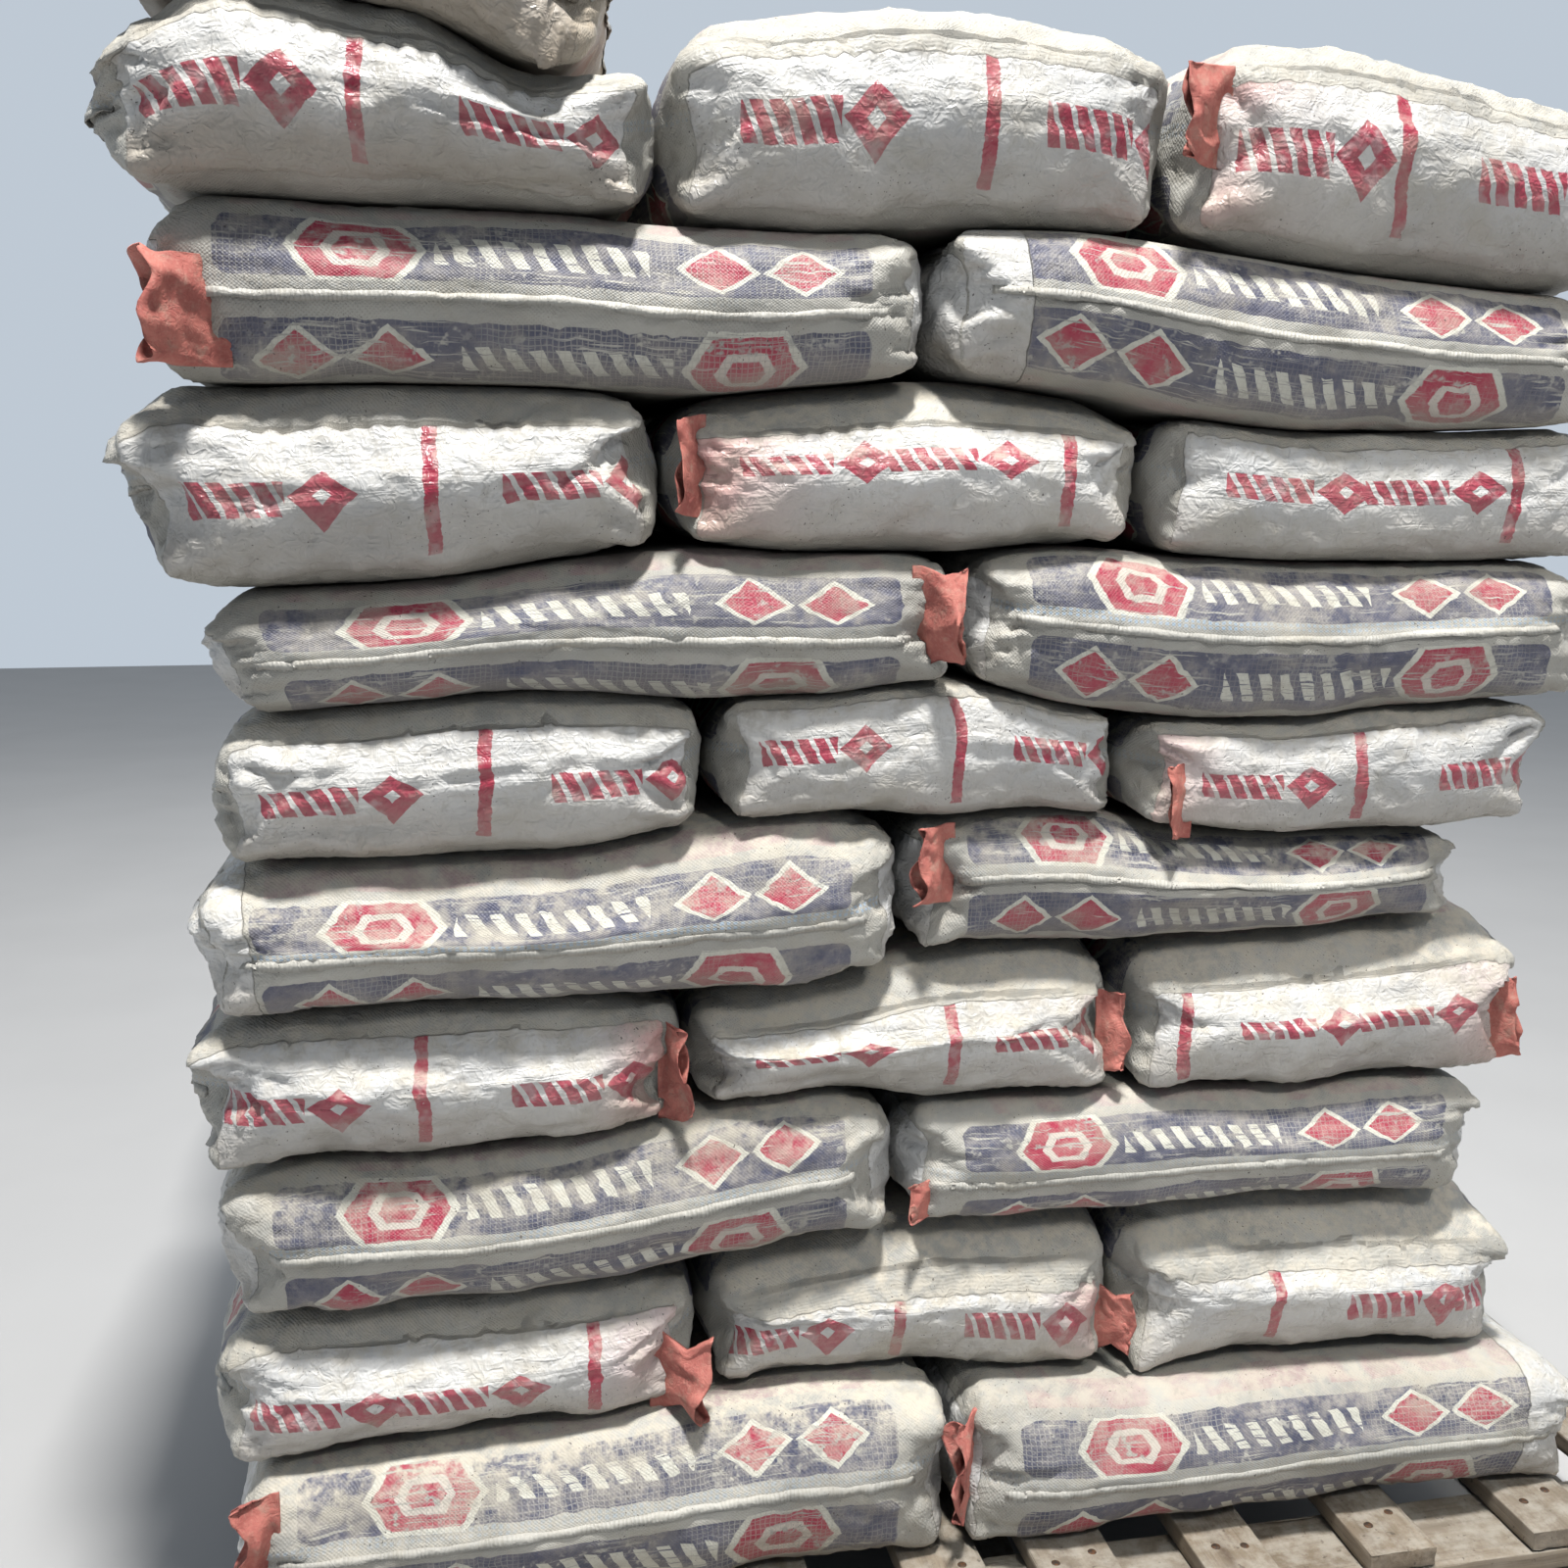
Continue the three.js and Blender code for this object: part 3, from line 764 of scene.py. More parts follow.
def fold_lines(ends, X, Y, H, rng, amount=1.0):
    """Folds on a face that looks to -Y, in the sack's own box."""
    segs = []
    zl, zh, yf = -H / 2, H / 2, -Y / 2
    s = lambda lo, hi: rng.uniform(lo, hi) * amount
    if ends == "y":
        for side in (-1, 1):
            for k in range(10):
                zc = zh - 0.016 if rng.random() < 0.6 else zl + 0.016
                sx = side * (X / 2 - rng.uniform(0.0, 0.014))
                ang = rng.uniform(0.05, 1.25) * (-1 if zc > 0 else 1)
                ln = rng.uniform(0.025, 0.085)
                A = np.array([sx, yf, zc])
                B = A + ln * np.array([-side * math.cos(ang), 0, math.sin(ang)])
                segs.append((A, B, s(-0.0034, 0.0026), rng.uniform(0.0028, 0.006)))
            if rng.random() < 0.7:
                A = np.array([side * (X / 2 - 0.006), yf, zh - 0.014])
                B = np.array([side * (X / 2 - rng.uniform(0.045, 0.07)), yf, rng.uniform(-0.01, 0.02)])
                C = np.array([side * (X / 2 - 0.006), yf, zl + 0.014])
                hgt = s(-0.0040, -0.0018)
                segs.append((A, B, hgt, 0.0045))
                segs.append((C, B, hgt * 0.8, 0.0045))
        for k in range(18):
            cx = rng.uniform(-X / 2 + 0.05, X / 2 - 0.05)
            ang = rng.normal(0, 0.18)
            v = 0.5 * rng.uniform(0.03, 0.13) * np.array([math.cos(ang), 0, math.sin(ang)])
            A = np.array([cx, yf, rng.uniform(zl + 0.02, zh - 0.010)])
            segs.append((A - v, A + v, s(-0.0021, 0.0019), rng.uniform(0.0028, 0.007)))
        for k in range(9):
            ang = rng.uniform(-1.0, 1.0) + math.pi / 2
            v = 0.5 * rng.uniform(0.02, 0.06) * np.array([math.cos(ang), 0, math.sin(ang)])
            A = np.array([rng.uniform(-X / 2 + 0.04, X / 2 - 0.04), yf, rng.uniform(zl + 0.02, zh - 0.01)])
            segs.append((A - v, A + v, s(-0.0018, 0.0016), rng.uniform(0.0028, 0.0055)))
        for k in range(16):                          # short pleats over the top edge
            A = np.array([rng.uniform(-X / 2 + 0.02, X / 2 - 0.02), yf + 0.004, zh - rng.uniform(0.012, 0.03)])
            B = A + np.array([rng.normal(0, 0.012), rng.uniform(0.02, 0.06), 0.03])
            segs.append((A, B, s(-0.0024, 0.0018), rng.uniform(0.003, 0.006)))
    else:
        for side in (-1, 1):
            for k in range(30):
                ln = rng.uniform(0.02, 0.085) * (1.3 if rng.random() < 0.3 else 0.8)
                ang = rng.normal(0, 0.35)
                A = np.array([side * (X / 2 - rng.uniform(0, 0.012)), yf, rng.uniform(zl + 0.004, zh - 0.002)])
                B = A + ln * np.array([-side * math.cos(ang), 0, math.sin(ang)])
                segs.append((A, B, s(-0.0030, 0.0024), rng.uniform(0.0025, 0.005)))
            for k in range(8):
                A = np.array([side * (X / 2 - rng.uniform(0, 0.01)), yf + rng.uniform(0, 0.05), zh])
                B = A + rng.uniform(0.03, 0.08) * np.array([-side, rng.normal(0, 0.3), 0])
                segs.append((A, B, s(-0.0026, 0.0020), rng.uniform(0.003, 0.006)))
        for k in range(14):
            ang = rng.normal(0, 0.12)
            v = 0.5 * rng.uniform(0.04, 0.18) * np.array([math.cos(ang), 0, math.sin(ang)])
            A = np.array([rng.uniform(-X / 2 + 0.06, X / 2 - 0.06), yf, rng.uniform(zl + 0.012, zh - 0.010)])
            segs.append((A - v, A + v, s(-0.0018, 0.0018), rng.uniform(0.0035, 0.008)))
    return segs


def turned(segs, how):
    """Folds for the -Y face, carried to another face of the box."""
    m = {"back": np.diag([-1, -1, 1.0]), "left": np.array([[0, 1, 0], [1, 0, 0], [0, 0, 1.0]]),
         "right": np.array([[0, -1, 0], [1, 0, 0], [0, 0, 1.0]])}[how]
    return [(m @ a, m @ b, h, w) for a, b, h, w in segs]


def make_sack(name, x0, x1, y0, y1, layer, ends, *, seed, nodes=(), show=("front",),
              stripe=0.0, marks=(9.0, 9.0), bleed=9.0, dusty=0.8, tan_and_shade=0.6, sh=(0.05, 0.02),
              pt=0.040, ws=(0.0, 0.0), lean=(0.0, 0.0), wrap=(0.0, 0.0), place=None,
              tris=16000, step=0.0055, thick=None, lips=True, swell=None, folds=1.15, lump=1.1,
              tape=0.35, wear=1.0, tone=None, tips=(), side_sh=(0.05, 0.020), mark_t=0.0, plump=1.0, soil_and_shade=0.0):
    """One filled sack between x0..x1 and y0..y1 (stack metres) in a layer. ends says which way
    it lies: "y" with its glued ends at front and back, "x" with them left and right. show names
    the faces that can be seen; sh is how far its front shoulder runs back and drops."""
    rng = np.random.default_rng(seed)
    H = 0.13
    inx = 0.0145
    iny_f, iny_b = 0.0155, 0.0145
    X, Y = (x1 - x0) - 2 * inx, (y1 - y0) - iny_f - iny_b
    cx, cy = (x0 + x1) / 2, (y0 + iny_f + y1 - iny_b) / 2
    half = np.array([X / 2, Y / 2, H / 2])

    def spacing(axis):
        near = {0: ("left" in show, "right" in show), 1: ("front" in show, "back" in show)}[axis]
        # cross lines are as fine as the faces that they cross
        crossed = any(f in show for f in (("front", "back") if axis == 0 else ("left", "right"))) or "top" in show
        far = step * (1.0 if ("front" in show and axis == 0) else 1.75) if crossed else 0.032
        hf = half[axis]

        def f(x):
            out = np.full_like(x, far)
            for side, on in zip((-1, 1), near):
                dist = hf - side * x
                fine = step + (far - step) * np.clip((dist - 0.075) / 0.03, 0, 1)
                rough = 0.013 + (far - 0.013) * np.clip((dist - 0.02) / 0.03, 0, 1) if far > 0.013 else far + 0 * x
                out = np.minimum(out, fine if on else rough)
            return out
        return f
    gx, gy = graded(half[0], spacing(0)), graded(half[1], spacing(1))
    gz = graded(half[2], lambda x: step * 0.95 + 0 * x)
    P, F, idx = box_grid(gx, gy, gz)
    u, v, c = P[:, 0] / half[0], P[:, 1] / half[1], P[:, 2] / half[2]
    la, wb = (v, u) if ends == "y" else (u, v)
    l, s, t = la * L2, wb * W2, c * H2
    seam_w = ws[0] + (ws[1] - ws[0]) * (la + 1) / 2 + 0.002 * noise(np.stack([l * 9, l * 0 + seed, l * 0], 1))
    tube_w = np.where(np.abs(c) >= 0.9999, np.sign(c) * (H2 + W2 - np.abs(s)), t) - seam_w
    on_end = np.abs(la) >= 0.9999
    e_end = np.minimum(np.minimum(W2 - 0.007 - np.abs(s), pt - t), t + 0.078)
    e_tube = -(L2 - np.abs(l)) + np.where(la < 0, wrap[0], wrap[1])
    e = np.where(on_end, e_end, e_tube)
    tone = float(rng.uniform(-0.07, 0.05)) if tone is None else tone
    att = dict(
        pc=np.tile([tape, wear, tone], (len(P), 1)),
        tube=np.stack([l, tube_w, e], 1),
        endc=np.stack([s, t, np.full(len(P), seed * 0.37 % 17)], 1),
        pa=np.tile([stripe, marks[0], marks[1]], (len(P), 1)),
        pb=np.tile([bleed, dusty, tan_and_shade], (len(P), 1)),
        pd=np.tile([mark_t, soil_and_shade, 0.0], (len(P), 1)),
    )
    p0 = rounded(P, half, BASE_R)
    # the simulated swelling, in one of its eight mirrored forms
    fl = rng.choice([-1.0, 1.0], 3)
    sw = SWELL[int(rng.integers(len(SWELL)))] if swell is None else SWELL[swell]
    if ends == "y":
        q = np.stack([fl[0] * v, fl[1] * u, fl[2] * c], 1)
        D = sw.at(q)
        D = np.stack([fl[1] * D[:, 1], fl[0] * D[:, 0], fl[2] * D[:, 2]], 1)
    else:
        q = np.stack([fl[0] * u, fl[1] * v, fl[2] * c], 1)
        D = sw.at(q) * fl
    if plump != 1.0:                                 # a front that stays flatter
        D[:, 1] *= np.where(v <= -0.9999, plump, 1 + 0 * v)
    p = p0 + D
    N0 = normals(p, F)
    segs = []
    if "front" in show:
        segs += fold_lines(ends, X, Y, H, rng, folds)
    if "back" in show:
        segs += turned(fold_lines(ends, X, Y, H, rng, folds), "back")
    for f in ("left", "right"):
        if f in show:
            segs += turned(fold_lines("x" if ends == "y" else "y", Y, X, H, rng, folds), f)
    if "top" in show:
        for k in range(22):
            ang = rng.uniform(0, 6.28)
            vv = 0.5 * rng.uniform(0.04, 0.16) * np.array([math.cos(ang), math.sin(ang), 0])
            A = np.array([rng.uniform(-X / 2, X / 2), rng.uniform(-Y / 2, Y / 2), H / 2])
            segs.append((A - vv, A + vv, rng.uniform(-0.0035, 0.0028) * folds, rng.uniform(0.004, 0.010)))
    fold = creases(p0, segs)
    off = np.array([seed * 1.37, seed * 0.71, seed * 2.11])
    low = (0.0040 * noise(p0 * 7.5 + off) + 0.0020 * noise(p0 * 19 + off)) * lump
    wr = noise(p0 * np.array([38, 38, 62]) + off)
    ridge = 1 - np.abs(wr) * 2.4
    dist_end = np.where(on_end, 0.0, L2 - np.abs(l))
    env = np.exp(-dist_end / 0.035) * (0.30 if ends == "y" else 0.65) + 0.10
    # the film and the cloth crumple most beside the two sides of a glued end
    w2 = noise(p0 * np.array([24, 24, 33]) + off * 1.7)
    ridge2 = 0.45 - np.abs(w2) * 2.0
    beside = np.exp(-np.maximum(W2 - np.abs(s), 0) / 0.045) * np.exp(-dist_end / 0.020)
    beside = np.maximum(beside, (0.8 if ends == "x" else 0.5) * np.exp(-dist_end / 0.045))
    gather = np.zeros(len(P))
    ph = 3 * noise(np.stack([s * 16, s * 0 + seed, s * 0], 1))
    near_end = np.exp(-np.maximum(L2 - np.abs(l), 0) / 0.05)
    edge = np.exp(-((t - pt - 0.004) / 0.010) ** 2) * near_end
    amp = 0.0009 + 0.0016 * smooth(-0.2, 0.5, noise(np.stack([s * 7, s * 0 + seed * 2, s * 0], 1)))
    gather = np.sin(2 * math.pi * s / 0.021 + ph) * edge * amp
    raised = 0.0010 * smooth(-0.004, 0.002, e) if np.isscalar(pt) else 0
    disp = (fold + low + 0.0013 * ridge * env + 0.0042 * ridge2 * beside + gather) * folds + raised
    contact = smooth(0.80, 0.98, np.abs(N0[:, 2]))
    if "top" in show:
        contact = np.where(N0[:, 2] > 0, 0.0, contact)
    p = p + N0 * (disp * (1 - 0.9 * contact))[:, None]
    # corners of the folded ends, pulled out into tips
    pulls = list(tips)
    for ix in (-1, 1):
        for iz in (-1, 1):
            pulls.append((ix, -1, iz, float(rng.uniform(0.001, 0.006)), (ix, -0.6, 0.1 * iz)))
    for ix, iy, iz, amt, dr in pulls:
        if (iy < 0 and "front" not in show) or (iy > 0 and "back" not in show):
            continue
        cn = np.array([ix * (X / 2 - 0.004), iy * (Y / 2 - 0.004), iz * (H / 2 - 0.004)])
        dr = np.array(dr, float) / np.linalg.norm(dr)
        rr = np.linalg.norm((p0 - cn) * np.array([1, 1, 1.25]), axis=1)
        p = p + dr * (amt * np.exp(-(np.maximum(rr - 0.004, 0) / 0.013) ** 0.9))[:, None]
    # ---- into its place
    zeta = p[:, 2] / H + 0.5
    zc = np.clip(zeta, 0, 1)
    px, py = p[:, 0], p[:, 1]
    wl = smooth(0.45, 1.0, -p0[:, 0] / half[0])
    wr_ = smooth(0.45, 1.0, p0[:, 0] / half[0])
    wx = cx + px + (zc - 0.5) * (lean[0] * wl + lean[1] * wr_)
    wy = cy + py
    if "left" not in show:
        wx = np.maximum(wx, x0 + lean[0] * (zc - 0.5) + 0.0006)
    if "right" not in show:
        wx = np.minimum(wx, x1 + lean[1] * (zc - 0.5) - 0.0006)
    if "back" not in show:
        wy = np.minimum(wy, y1 - 0.0005)
    if "front" not in show:
        wy = np.maximum(wy, y0 + 0.0005)
    if place is None:
        zb = layer_z(layer - 1, wx) + 0.0007
        zt = layer_z(layer, wx) - 0.0007
        if thick is not None:
            zt = thick(wx, wy, u, v, zt)
        zmax = np.maximum(zeta, 1) if "top" in show else 1.0
        zz = np.clip(zeta, 0, zmax)
        wz = zb + zz * (zt - zb)
        if "top" in show:                            # over the rim nothing lies on it
            wz = zb + np.maximum(zeta, 0) * (zt - zb)
        rise = smooth(0.30, 1.0, zc)
        for face, dist in (("front", wy - y0), ("back", y1 - wy), ("left", wx - x0), ("right", x1 - wx)):
            if face in show:
                dd, hh = sh if face == "front" else side_sh
                wz -= hh * np.clip(1 - dist / dd, 0, 1.2) ** 1.6 * rise
        for face, dist in (("front", wy - y0), ("back", y1 - wy), ("left", wx - x0), ("right", x1 - wx)):
            if face in show:
                wz += 0.004 * np.clip(1 - dist / 0.03, 0, 1.2) ** 2 * (1 - rise)
    else:
        wx, wy, wz = place(wx, wy, zeta, u, v)
    Q = np.stack([wx, wy, wz], 1)
    ob = make_object(f"{name}_cover", Q + O, F, att, SACK)
    n_tris = len(F) * 2
    if n_tris > tris:
        decimate(ob, tris / n_tris)
    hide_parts(*nodes)
    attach(ob, "root")

    soup = Soup()
    NQ = normals(Q, F)

    def rim(face):
        """The free edge of the lap seam along a long side, as a thin strip that stands off."""
        if face in ("front", "back"):
            col = idx[5:-5, 0 if face == "front" else -1, :]
        else:
            col = idx[0 if face == "left" else -1, 5:-5, :]
        m = len(col)
        lv = l[col[:, 0]]
        sw_ = ws[0] + (ws[1] - ws[0]) * (lv / L2 + 1) / 2
        tl = gz / half[2] * H2
        k = np.clip(np.searchsorted(tl, sw_) - 1, 1, len(tl) - 3)
        f = ((sw_ - tl[k]) / (tl[k + 1] - tl[k]))[:, None]
        r = np.arange(m)
        c0 = Q[col[r, k]] * (1 - f) + Q[col[r, k + 1]] * f
        nn = NQ[col[r, k]] * (1 - f) + NQ[col[r, k + 1]] * f
        up = Q[col[r, k + 1]] - Q[col[r, k]]
        up /= np.linalg.norm(up, axis=1)[:, None]
        a9 = np.stack([c0[:, 0] * 9 + c0[:, 1] * 9, np.full(m, seed * 1.3), np.full(m, 0.5)], 1)
        wav, wav2 = noise(a9), noise(a9 * np.array([4.4, 1, 1]) + 3.3)
        lift = 0.0009 + 0.0032 * smooth(-0.1, 0.55, wav) + 0.0014 * smooth(0, 0.5, wav2)
        dz = 0.004 * wav + 0.0012 * wav2
        wid = 0.0075 + 0.003 * wav2
        c0 = c0 + up * (dz + 0.003)[:, None]
        ring = np.stack([
            c0 - nn * 0.0006, c0 + nn * 0.0006,
            c0 - up * wid[:, None] + nn * (lift + 0.0005)[:, None],
            c0 - up * wid[:, None] + nn * (lift - 0.0003)[:, None]], 1)
        pts = ring.reshape(-1, 3)
        fs = []
        for i in range(m - 1):
            for j in range(4):
                fs.append((i * 4 + j, i * 4 + (j + 1) % 4, (i + 1) * 4 + (j + 1) % 4, (i + 1) * 4 + j))
        fs.append((3, 2, 1, 0))
        fs.append(tuple((m - 1) * 4 + j for j in range(4)))
        if face in ("back", "left"):
            fs = [tuple(reversed(x)) for x in fs]
        n4 = m * 4
        soup.add(pts + O, fs, tube=np.stack([np.repeat(lv, 4), np.full(n4, 0.0012), np.full(n4, -0.05)], 1),
                 endc=np.tile([0.0, 0.0, seed * 0.37 % 17], (n4, 1)),
                 pa=np.tile([9.0, 9.0, 9.0], (n4, 1)), pb=np.tile([9.0, dusty * 0.2, 0.0], (n4, 1)),
                 pc=np.tile([0.0, 0.0, 0.05], (n4, 1)))
    if lips:
        for face in (("front", "back") if ends == "x" else ("left", "right")):
            if face in show:
                rim(face)
    return dict(ob=ob, soup=soup, Q=Q, N=NQ, idx=idx, gz=gz, seed=seed, name=name)


def spot(info, ix, iy, fz):
    """A surface point and normal of a sack; ix, iy from -1 to 1 across its box, fz its height."""
    I = info["idx"]
    i = int(round((ix + 1) / 2 * (I.shape[0] - 1)))
    j = int(round((iy + 1) / 2 * (I.shape[1] - 1)))
    k = int(round(fz * (I.shape[2] - 1)))
    q = I[i, j, k]
    return info["Q"][q].copy(), info["N"][q].copy()


def ear(info, ix, iy, fz, direction, length=0.030, width=0.030, seed=1, patchy=-0.02):
    """A folded corner tip: a small crumpled leaf with thickness."""
    base, _ = spot(info, ix, iy, fz)
    d = np.array(direction, float)
    d /= np.linalg.norm(d)
    base = base - d * 0.008
    up = np.array([0.0, -0.5, 0.85])
    side = np.cross(d, up)
    side /= np.linalg.norm(side)
    upn = np.cross(side, d)
    m, n = 10, 9
    pts, th = [], 0.0012
    for sgn in (1, -1):
        for i in range(m):
            a = i / (m - 1)
            wd = width * (1 - 0.80 * a ** 1.2)
            for j in range(n):
                b = j / (n - 1) * 2 - 1
                crease = 0.34 * wd * (1 - abs(b)) * (0.6 + 0.4 * math.sin(4 * a + seed))
                curl = 0.25 * length * a * a * math.sin(seed * 2.1)
                jig = 0.0014 * math.sin(9 * a + 6 * b + seed)
                pts.append(base + d * (a * length) + side * (b * wd / 2) + upn * (crease + curl + jig + sgn * th / 2))
    at = lambda q, i, j: q * m * n + i * n + j
    fs = []
    for i in range(m - 1):
        for j in range(n - 1):
            fs.append((at(0, i, j), at(0, i, j + 1), at(0, i + 1, j + 1), at(0, i + 1, j)))
            fs.append((at(1, i, j), at(1, i + 1, j), at(1, i + 1, j + 1), at(1, i, j + 1)))
    for j in range(n - 1):
        fs.append((at(0, 0, j + 1), at(0, 0, j), at(1, 0, j), at(1, 0, j + 1)))
        fs.append((at(0, m - 1, j), at(0, m - 1, j + 1), at(1, m - 1, j + 1), at(1, m - 1, j)))
    for i in range(m - 1):
        fs.append((at(0, i, 0), at(0, i + 1, 0), at(1, i + 1, 0), at(1, i, 0)))
        fs.append((at(0, i + 1, n - 1), at(0, i, n - 1), at(1, i, n - 1), at(1, i + 1, n - 1)))
    k = len(pts)
    sd = info["seed"] * 0.37 % 17
    info["soup"].add(np.array(pts) + O, fs, tube=np.tile([0.29, 0.11, patchy], (k, 1)),
                     endc=np.tile([0.15, 0.0, sd], (k, 1)),
                     pa=np.tile([9.0, 9.0, 9.0], (k, 1)), pb=np.tile([9.0, 0.35, 0.0], (k, 1)),
                     pc=np.tile([0.0, 0.0, 0.0], (k, 1)))


LEAN = {1: (0, 0, .02), 2: (0, 0, 0, 0), 3: (-.012, 0, .022), 4: (-.02, 0, 0, .012), 5: (-.015, 0, 0),
        6: (0, 0, 0, .012), 7: (-.030, 0, 0), 8: (-.030, 0, .010, 0), 9: (0, 0, 0), 10: (-.020, 0, .015, 0)}
TL, TR = (-1, -1, 1), (1, -1, 1)
FRONT = [
    # layer, x edges, front y, options from left to right
    (1, (-0.016, 0.641, 1.305), (-0.044, -0.046), (
        dict(seed=101, dusty=1.1, sh=(0.07, 0.030), ws=(0.018, 0.010), wear=1.3,
             tips=((*TR, 0.012, (0.3, -0.4, 0.9)),)),
        dict(seed=102, dusty=0.7, sh=(0.065, 0.020), ws=(-0.012, -0.002), wear=1.3, tape=0.15, wrap=(0.0, 0.052),
             tips=((*TR, 0.024, (0.9, -0.5, 0.05)), (1, -1, -1, 0.018, (0.8, -0.2, -0.4)))))),
    (2, (-0.027, 0.406, 0.818, 1.246), (-0.004, 0.004, -0.002), (
        dict(seed=201, stripe=0.124, marks=(-0.155, -0.020), bleed=0.215, sh=(0.06, 0.028), pt=0.057, mark_t=-0.006,
             tips=((*TL, 0.016, (-0.8, -0.4, 0.2)),)),
        dict(seed=202, stripe=-0.025, marks=(-0.175, 0.090), bleed=0.215, dusty=1.3, mark_t=-0.010, sh=(0.09, 0.042), pt=0.026),
        dict(seed=203, stripe=-0.066, marks=(0.060, 0.175), dusty=1.2, sh=(0.10, 0.048), pt=0.034, mark_t=-0.008,
             tips=((*TR, 0.018, (0.8, -0.4, 0.2)), (-1, -1, -1, 0.014, (-0.3, -0.5, -0.6)))))),
    (3, (-0.019, 0.595, 1.199), (-0.006, 0.000), (
        dict(seed=301, dusty=1.0, sh=(0.05, 0.020), ws=(-0.003, 0.002), tape=0.5, tone=-0.05),
        dict(seed=302, dusty=0.6, sh=(0.05, 0.018), ws=(-0.018, -0.010), wear=1.2, tape=0.2,
             tips=((*TR, 0.016, (0.7, -0.4, 0.5)),)))),
    (4, (-0.035, 0.396, 0.816, 1.235), (0.000, 0.006, 0.000), (
        dict(seed=401, stripe=-0.018, marks=(-0.165, 0.105), bleed=0.190, sh=(0.05, 0.022), pt=0.060, folds=1.5,
             tips=((*TL, 0.020, (-0.5, -0.5, 0.6)), (-1, -1, -1, 0.012, (-0.4, -0.5, -0.5)))),
        dict(seed=402, stripe=0.035, marks=(-0.125, 0.120), bleed=0.200, sh=(0.08, 0.040), pt=0.050, dusty=1.1, mark_t=0.005),
        dict(seed=403, stripe=-0.177, marks=(-0.075, 0.060), bleed=0.200, dusty=1.1, mark_t=0.008, sh=(0.09, 0.044), pt=0.053))),
    (5, (-0.024, 0.598, 1.170), (-0.008, 0.012), (
        dict(seed=501, dusty=0.9, sh=(0.075, 0.034), ws=(-0.012, -0.012), tape=0.8, wrap=(0.035, 0.0)),
        dict(seed=502, dusty=0.8, sh=(0.04, 0.014), ws=(0.010, 0.010), tape=0.1, tone=-0.05,
             tips=((*TR, 0.012, (0.8, -0.3, 0.2)),)))),
    (6, (-0.001, 0.419, 0.805, 1.237), (-0.002, 0.004, -0.002), (
        dict(seed=601, stripe=0.018, marks=(-0.140, 0.120), sh=(0.06, 0.030), pt=0.058, folds=1.3, plump=0.55),
        dict(seed=602, stripe=0.031, marks=(-0.145, 0.135), sh=(0.03, 0.010), pt=0.060, tone=-0.05, mark_t=0.016, plump=0.5),
        dict(seed=603, stripe=0.008, marks=(-0.120, 0.135), bleed=-0.190, sh=(0.04, 0.015), pt=0.056, tone=-0.05, plump=0.5,
             tips=((*TR, 0.010, (0.5, -0.5, 0.4)),)))),
    (7, (0.000, 0.641, 1.271), (0.000, -0.004), (
        dict(seed=701, dusty=0.6, sh=(0.05, 0.020), ws=(-0.014, -0.018), tone=-0.06, tape=0.1),
        dict(seed=702, dusty=0.6, sh=(0.06, 0.020), ws=(0.010, 0.008), tape=0.8))),
    (8, (-0.055, 0.381, 0.815, 1.277), (-0.006, 0.002, 0.000), (
        dict(seed=801, stripe=0.028, marks=(-0.135, 0.130), sh=(0.06, 0.032), pt=0.054, folds=1.5,
             tips=((*TR, 0.010, (0.4, -0.5, 0.7)),)),
        dict(seed=802, stripe=0.143, marks=(-0.125, 0.010), bleed=-0.195, sh=(0.09, 0.036), pt=0.052, dusty=1.0, mark_t=0.022, plump=0.7),
        dict(seed=803, stripe=0.120, marks=(-0.125, 0.010), sh=(0.05, 0.018), pt=0.060, tone=-0.05, mark_t=0.014, plump=0.5))),
    (9, (-0.027, 0.611, 1.261), (-0.002, -0.008), (
        dict(seed=901, dusty=0.6, sh=(0.05, 0.020), ws=(-0.006, -0.010), wear=1.3, tape=0.1, tone=-0.05),
        dict(seed=902, dusty=0.6, sh=(0.06, 0.026), ws=(0.018, -0.004), wrap=(0.058, 0.0), tape=0.1,
             tips=((*TL, 0.018, (-0.1, -0.5, 0.8)),)))),
    (10, (-0.055, 0.379, 0.826, 1.284), (-0.014, 0.000, -0.008), (
        dict(seed=1001, stripe=-0.020, marks=(-0.150, 0.105), sh=(0.06, 0.014), side_sh=(0.035, 0.006), pt=0.044, folds=1.5, lump=1.4, tan_and_shade=1.1),
        dict(seed=1002, stripe=0.051, marks=(-0.125, 0.140), sh=(0.08, 0.018), pt=0.040,
             tips=((*TL, 0.014, (-0.4, -0.4, 0.8)),)),
        dict(seed=1003, stripe=-0.033, marks=(-0.145, 0.080), bleed=-0.190, sh=(0.07, 0.015), pt=0.042))),
]
SIDES = {2: ("left", "right"), 3: ("left", "middle", "right")}


def dip(wx, wy):
    """Where the sack on top presses into the first one, at the front of the valley."""
    return (0.013 * np.exp(-((wx - 0.290) / 0.070) ** 2) - 0.015 * np.exp(-((wx - 0.040) / 0.070) ** 2)) * smooth(0.28, 0.04, wy)


def crest(wx, wy, u, v, zt):
    """The uppermost layer has nothing on it, so its faces fall away to the rims."""
    return zt - 0.006 * smooth(0.70, 1.0, np.abs(u)) ** 1.5 - 0.004 * smooth(0.7, 1.0, np.abs(v)) ** 1.5 - dip(wx, wy) \
        + (0.014 * np.exp(-((wx - 0.425) / 0.040) ** 2) - 0.007 * np.exp(-((wx - 0.590) / 0.080) ** 2)
           + 0.010 * np.exp(-((wx - 0.875) / 0.045) ** 2)) * smooth(0.35, 0.10, wy)


